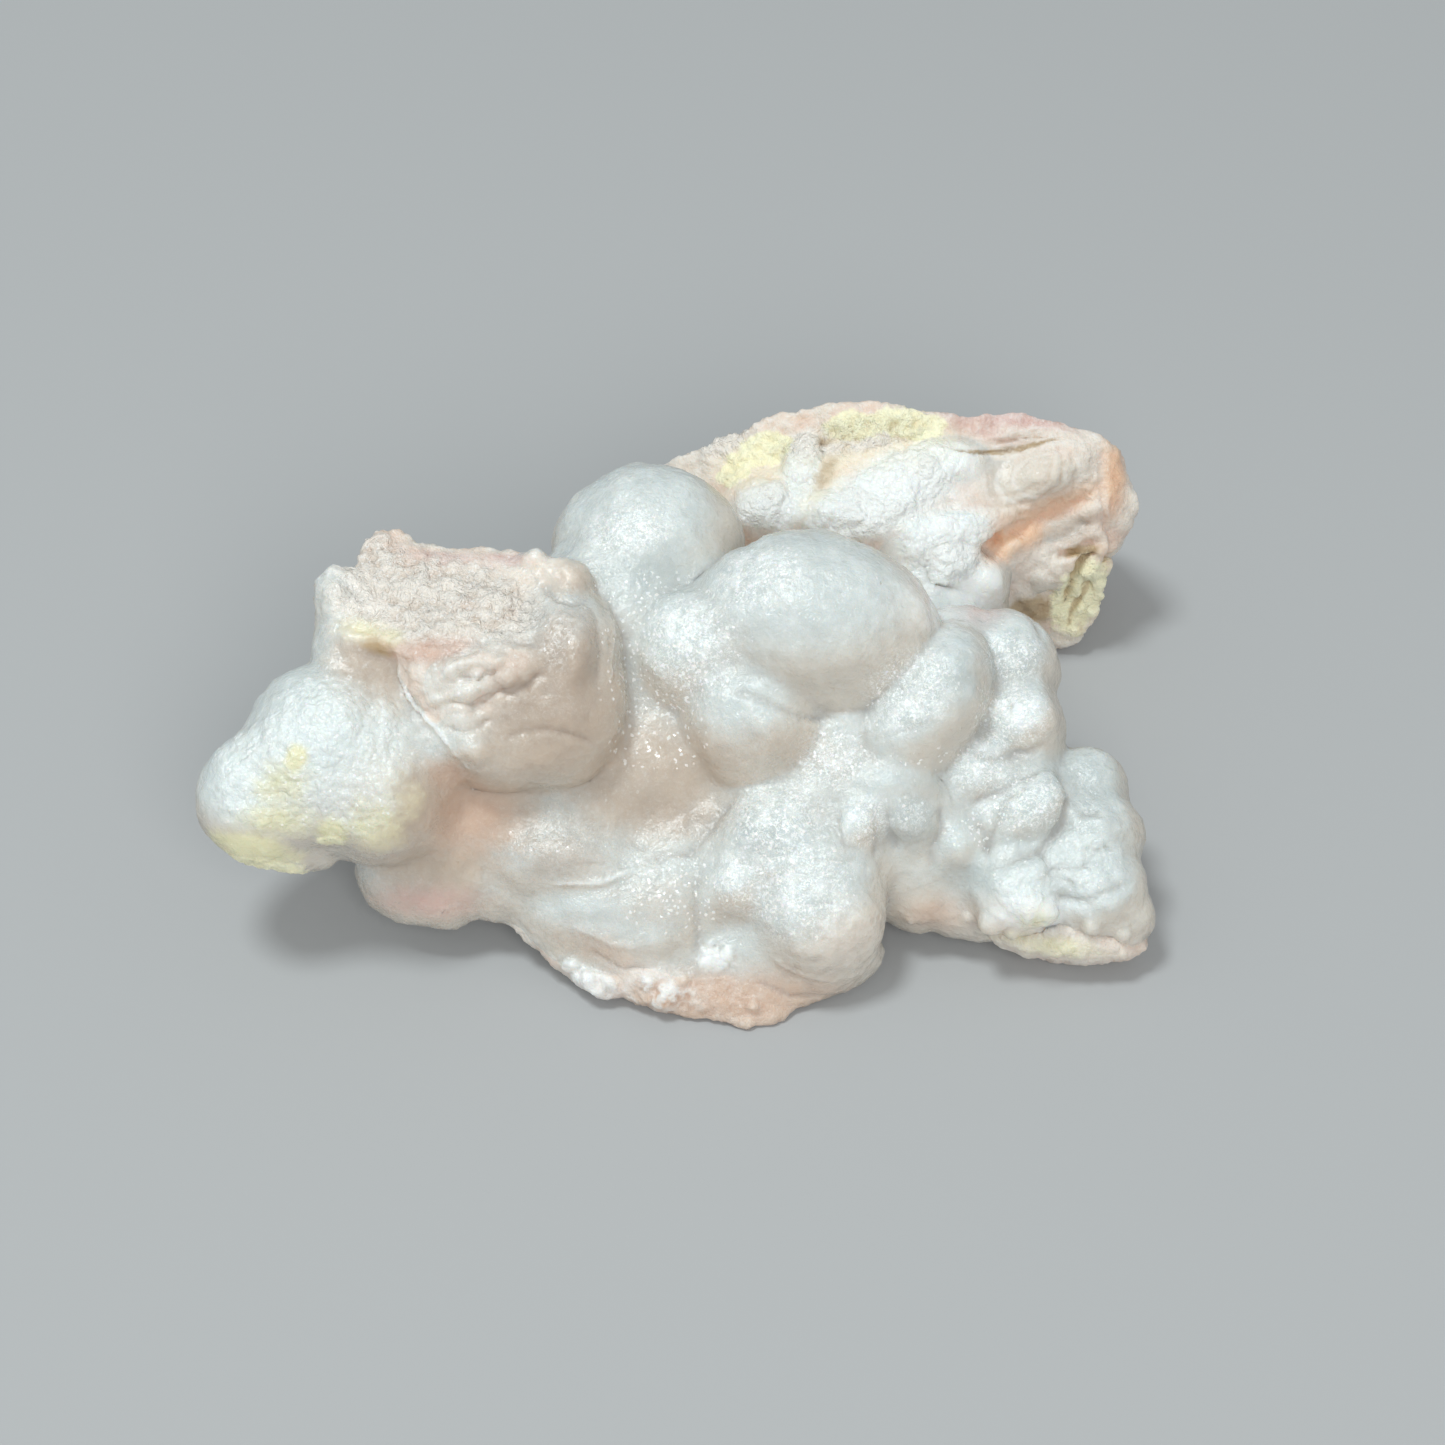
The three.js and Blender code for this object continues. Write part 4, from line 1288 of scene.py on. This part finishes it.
class Shape(Works):
    """A Geometry Nodes tree with named inputs, which ends in Realize Instances and Set Material."""

    def __init__(self, name, sizes):
        self.group = bpy.data.node_groups.new(name, "GeometryNodeTree")
        super().__init__(self.group)
        sockets = self.group.interface
        sockets.new_socket("Geometry", in_out="INPUT", socket_type="NodeSocketGeometry")
        sockets.new_socket("Geometry", in_out="OUTPUT", socket_type="NodeSocketGeometry")
        self.sizes = {}
        for size, value in sizes.items():
            socket = sockets.new_socket(size, in_out="INPUT", socket_type="NodeSocketFloat")
            self.sizes[socket.identifier] = value
        self.entry = self.tree.nodes.new("NodeGroupInput")

    def given(self, name):
        return Wire(self, self.entry.outputs[name])

    def field(self, name):
        return self.node("GeometryNodeInputNamedAttribute", {"data_type": "FLOAT"}, {"Name": name})

    def noise(self, size, detail, roughness):
        """Noise from 0 to 1 whose grain is as large as the size of that name."""
        values = {"Scale": 1 / self.given(size), "Detail": detail, "Roughness": roughness}
        return self.node("ShaderNodeTexNoise", {}, values)

    def cells(self, size, feature="F1"):
        """The distance to the nearest middle of cells as large as the size of that name."""
        return self.node("ShaderNodeTexVoronoi", {"feature": feature}, {"Scale": 1 / self.given(size)})

    def end(self, geometry, material):
        whole = self.node("GeometryNodeRealizeInstances", {}, {0: geometry})
        dressed = self.node("GeometryNodeSetMaterial", {}, {"Geometry": whole, "Material": material})
        self.node("NodeGroupOutput", {}, {0: dressed})

    def use(self, obj):
        modifier = obj.modifiers.new(self.group.name, "NODES")
        modifier.node_group = self.group
        for identifier, value in self.sizes.items():
            modifier[identifier] = value


def relief(material):
    """Small lobes on the lobes, chips on the broken faces and crumbs in the crust."""
    sizes = {
        "Chip Size": 1.6 * MM,
        "Chip Height": 0.4 * MM,
        "Lump Size": 1.5 * MM,
        "Lump Height": 0.45 * MM,
        "Crumb Size": 0.6 * MM,
        "Crumb Height": 0.5 * MM,
        "Frost Size": 0.9 * MM,
        "Frost Height": 0.16 * MM,
        "Swell Size": 3.5 * MM,
        "Swell Height": 0.3 * MM,
        "Blotch Size": 0.9 * MM,
        "Mottle Size": 0.7 * MM,
        "Band Size": 2.6 * MM,
        "Scale Size": 0.8 * MM,
        "Scale Height": 0.7 * MM,
        "Grain Size": 0.55 * MM,
        "Grain Height": 0.25 * MM,
        "Knoll Size": 2.4 * MM,
        "Knoll Height": 0.42 * MM,
        "Proud Height": 0.35 * MM,
    }
    shape = Shape("relief", sizes)
    bare, lumps, crust, scaly = (shape.field(name) for name in ("bare", "lumps", "crust", "scaly"))
    rugged, sugar = shape.field("rugged"), shape.field("sugar")
    chips = shape.noise("Chip Size", 4, 0.6) - 0.5
    lump = (1 - shape.cells("Lump Size", "SMOOTH_F1") * 1.2).most(0.0)
    crumb = shape.noise("Crumb Size", 3, 0.65) - 0.4
    frost = shape.noise("Frost Size", 3, 0.6) - 0.5
    swell = 2 * (shape.noise("Swell Size", 1, 0.4) - 0.5) * shape.given("Swell Height")
    scale = shape.noise("Scale Size", 4, 0.7) - 0.5
    grain = 0.6 - shape.cells("Grain Size")
    knoll = 0.5 - shape.cells("Knoll Size", "SMOOTH_F1")
    height = (
        (2 * bare + 2.4 * rugged) * chips * shape.given("Chip Height")
        + lumps * lump * shape.given("Lump Height")
        + 2 * crust * crumb * shape.given("Crumb Height")
        + swell
        + 2 * frost * shape.given("Frost Height")
        + 2 * scaly * scale * shape.given("Scale Height")
        + sugar.rise(0.2, 0.7) * grain * shape.given("Grain Height")
        + (1 - bare) * knoll * shape.given("Knoll Height")
    )
    normal = shape.node("GeometryNodeInputNormal")
    kept = shape.given("Geometry")
    for name, value in (
        ("proud", (height - swell) / shape.given("Proud Height")),
        ("blotch", shape.noise("Blotch Size", 4, 0.6)),
        ("mottle", shape.noise("Mottle Size", 5, 0.65)),
        ("bands", shape.noise("Band Size", 3, 0.55)),
    ):
        stored = {"Geometry": kept, "Name": name, "Value": value}
        kept = shape.node("GeometryNodeStoreNamedAttribute", {}, stored)
    offset = shape.scaled(normal, height)
    moved = shape.node("GeometryNodeSetPosition", {}, {"Geometry": kept, "Offset": offset})
    shape.end(moved, material)
    return shape


def ring_distance(points, tree):
    """How far each point is from the middle of the block's swirl, in flattened rings."""
    across, upward = leaning(RINGS_LEAN)
    out = points - touched(tree, *RINGS_MIDDLE)
    return np.hypot(out @ across / RINGS_FLATNESS, out @ upward)


def hollowness(points, normals, edges):
    """How deep each point lies under the broad shape of the stone, from 0 on a rise to 1 in a hollow."""
    inward = ((relaxed(points, edges, BROAD_ROUNDS) - points) * normals).sum(1)
    return smooth_step(-0.25, 0.35, relaxed(inward, edges, 4))


def keep_field(mesh, name, values):
    attribute = mesh.attributes.new(name, "FLOAT", "POINT")
    attribute.data.foreach_set("value", np.asarray(values, np.float32))


def thinned(mesh):
    """The mesh of four-sided faces as triangles, with fewer of them on its flatter parts."""
    obj = shown("thinned", mesh)
    obj.modifiers.new("Triangles", "TRIANGULATE")
    fewer = obj.modifiers.new("Fewer", "DECIMATE")
    fewer.ratio = min(1, MOST_TRIANGLES / (2 * len(mesh.polygons)))
    result = evaluated(obj)
    bpy.data.objects.remove(obj)
    return result


def detailed_skin(node):
    """The skin with its rises and lines, and with the fields that the relief and the finish read."""
    mesh, belongs = skin(node)
    edges = edges_of(mesh)
    put_points(mesh, melted(points_of(mesh), edges, tree_of(mesh)))
    tree = tree_of(mesh)
    put_points(mesh, raised(points_of(mesh), normals_of(mesh), tree))
    points, groove, edge_highlight = lined(points_of(mesh), normals_of(mesh), tree)
    put_points(mesh, points)
    fields = {name: cover(points, tree, patches) for name, patches in PATCHES.items()}
    grown = np.clip(1.5 * fields.pop("grown"), 0, 1)
    bare = relaxed(1 - belongs, edges, 6) * (1 - grown)
    # Painted sky light: how squarely the skin faces the sky, which the finish paints cool white
    facing = relaxed(normals_of(mesh), edges, 12) @ SKYWARD
    fields |= {
        "bare": bare,
        "groove": groove,
        "edge_highlight": edge_highlight,
        "hollow": hollowness(points, normals_of(mesh), edges),
        "frost_and_painted_skylight": smooth_step(0.2, 0.95, facing),
        "rings": ring_distance(points, tree),
        "lumps": (1 - bare) * np.maximum(fields["chalk"], 0.15),
        "crust": np.maximum.reduce((fields["yellow"], 0.6 * fields["cream"], 1.3 * fields["crumbs"])),
    }
    for name, values in fields.items():
        keep_field(mesh, name, values)
    return mesh


def opal_stone(node):
    """The whole stone as one piece, in place of the frame's solid."""
    obj = shown("stone_shape", detailed_skin(node))
    relief(OpalFinish().whole()).use(obj)
    whole = thinned(evaluated(obj))
    bpy.data.objects.remove(obj)
    put_points(whole, above_ground(points_of(whole)))
    whole.shade_smooth()
    whole.name = "opal_stone"
    stone = shown("opal_stone", whole)
    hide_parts("pink_opal")
    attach(stone, "root")


# Stage, in metres

FLOOR_HALF_WIDTH = 1.5
LIT_POINT = (0, 0, 0.008)
SKY_COLOUR = (0.95, 1.0, 1.0, 1)
SKY_STRENGTH = 0.42


def floor():
    half = FLOOR_HALF_WIDTH
    corners = [(-half, -half, 0), (half, -half, 0), (half, half, 0), (-half, half, 0)]
    mesh = bpy.data.meshes.new("floor")
    mesh.from_pydata(corners, [], [(0, 1, 2, 3)])
    mesh.materials.append(floor_finish())
    shown("floor", mesh)


def aimed(obj, place, target):
    """Puts the lamp or camera at the place, turned to the target."""
    obj.location = place
    obj.rotation_euler = (Vector(target) - Vector(place)).to_track_quat("-Z", "Y").to_euler()
    bpy.context.scene.collection.objects.link(obj)


def soft_light(name, place, width, power, colour, shines=True):
    lamp = bpy.data.lights.new(name, "AREA")
    lamp.shape = "DISK"
    lamp.size = width
    lamp.energy = power
    lamp.color = colour
    obj = bpy.data.objects.new(name, lamp)
    obj.visible_glossy = shines
    aimed(obj, place, LIT_POINT)


def lights():
    soft_light("window", (-0.15, -0.03, 0.55), 0.14, 1.5, (0.94, 1.0, 1.0))
    soft_light("fill", (0.08, -0.41, 0.33), 0.3, 1.25, (1.0, 0.99, 0.97), shines=False)
    world = bpy.data.worlds.new("studio")
    world.use_nodes = True
    sky = world.node_tree.nodes["Background"].inputs
    sky["Color"].default_value = SKY_COLOUR
    sky["Strength"].default_value = SKY_STRENGTH
    bpy.context.scene.world = world
    bpy.context.scene.view_settings.view_transform = "Standard"


def camera():
    lens = bpy.data.cameras.new("camera")
    lens.sensor_width = SENSOR_WIDTH
    lens.lens = SENSOR_WIDTH * EYE_DISTANCE / PICTURE_WIDTH
    lens.clip_start = 0.01
    eye = bpy.data.objects.new("camera", lens)
    aimed(eye, EYE * MM, SIGHT_POINT * MM)
    bpy.context.scene.camera = eye


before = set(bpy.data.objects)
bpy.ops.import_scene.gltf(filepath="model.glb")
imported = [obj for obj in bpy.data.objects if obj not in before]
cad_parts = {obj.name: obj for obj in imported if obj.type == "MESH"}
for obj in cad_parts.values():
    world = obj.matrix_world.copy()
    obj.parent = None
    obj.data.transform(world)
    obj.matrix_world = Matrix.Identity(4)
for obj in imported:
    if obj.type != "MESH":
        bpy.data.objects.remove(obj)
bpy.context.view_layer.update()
opal_stone(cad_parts["pink_opal"])
floor()
lights()
camera()
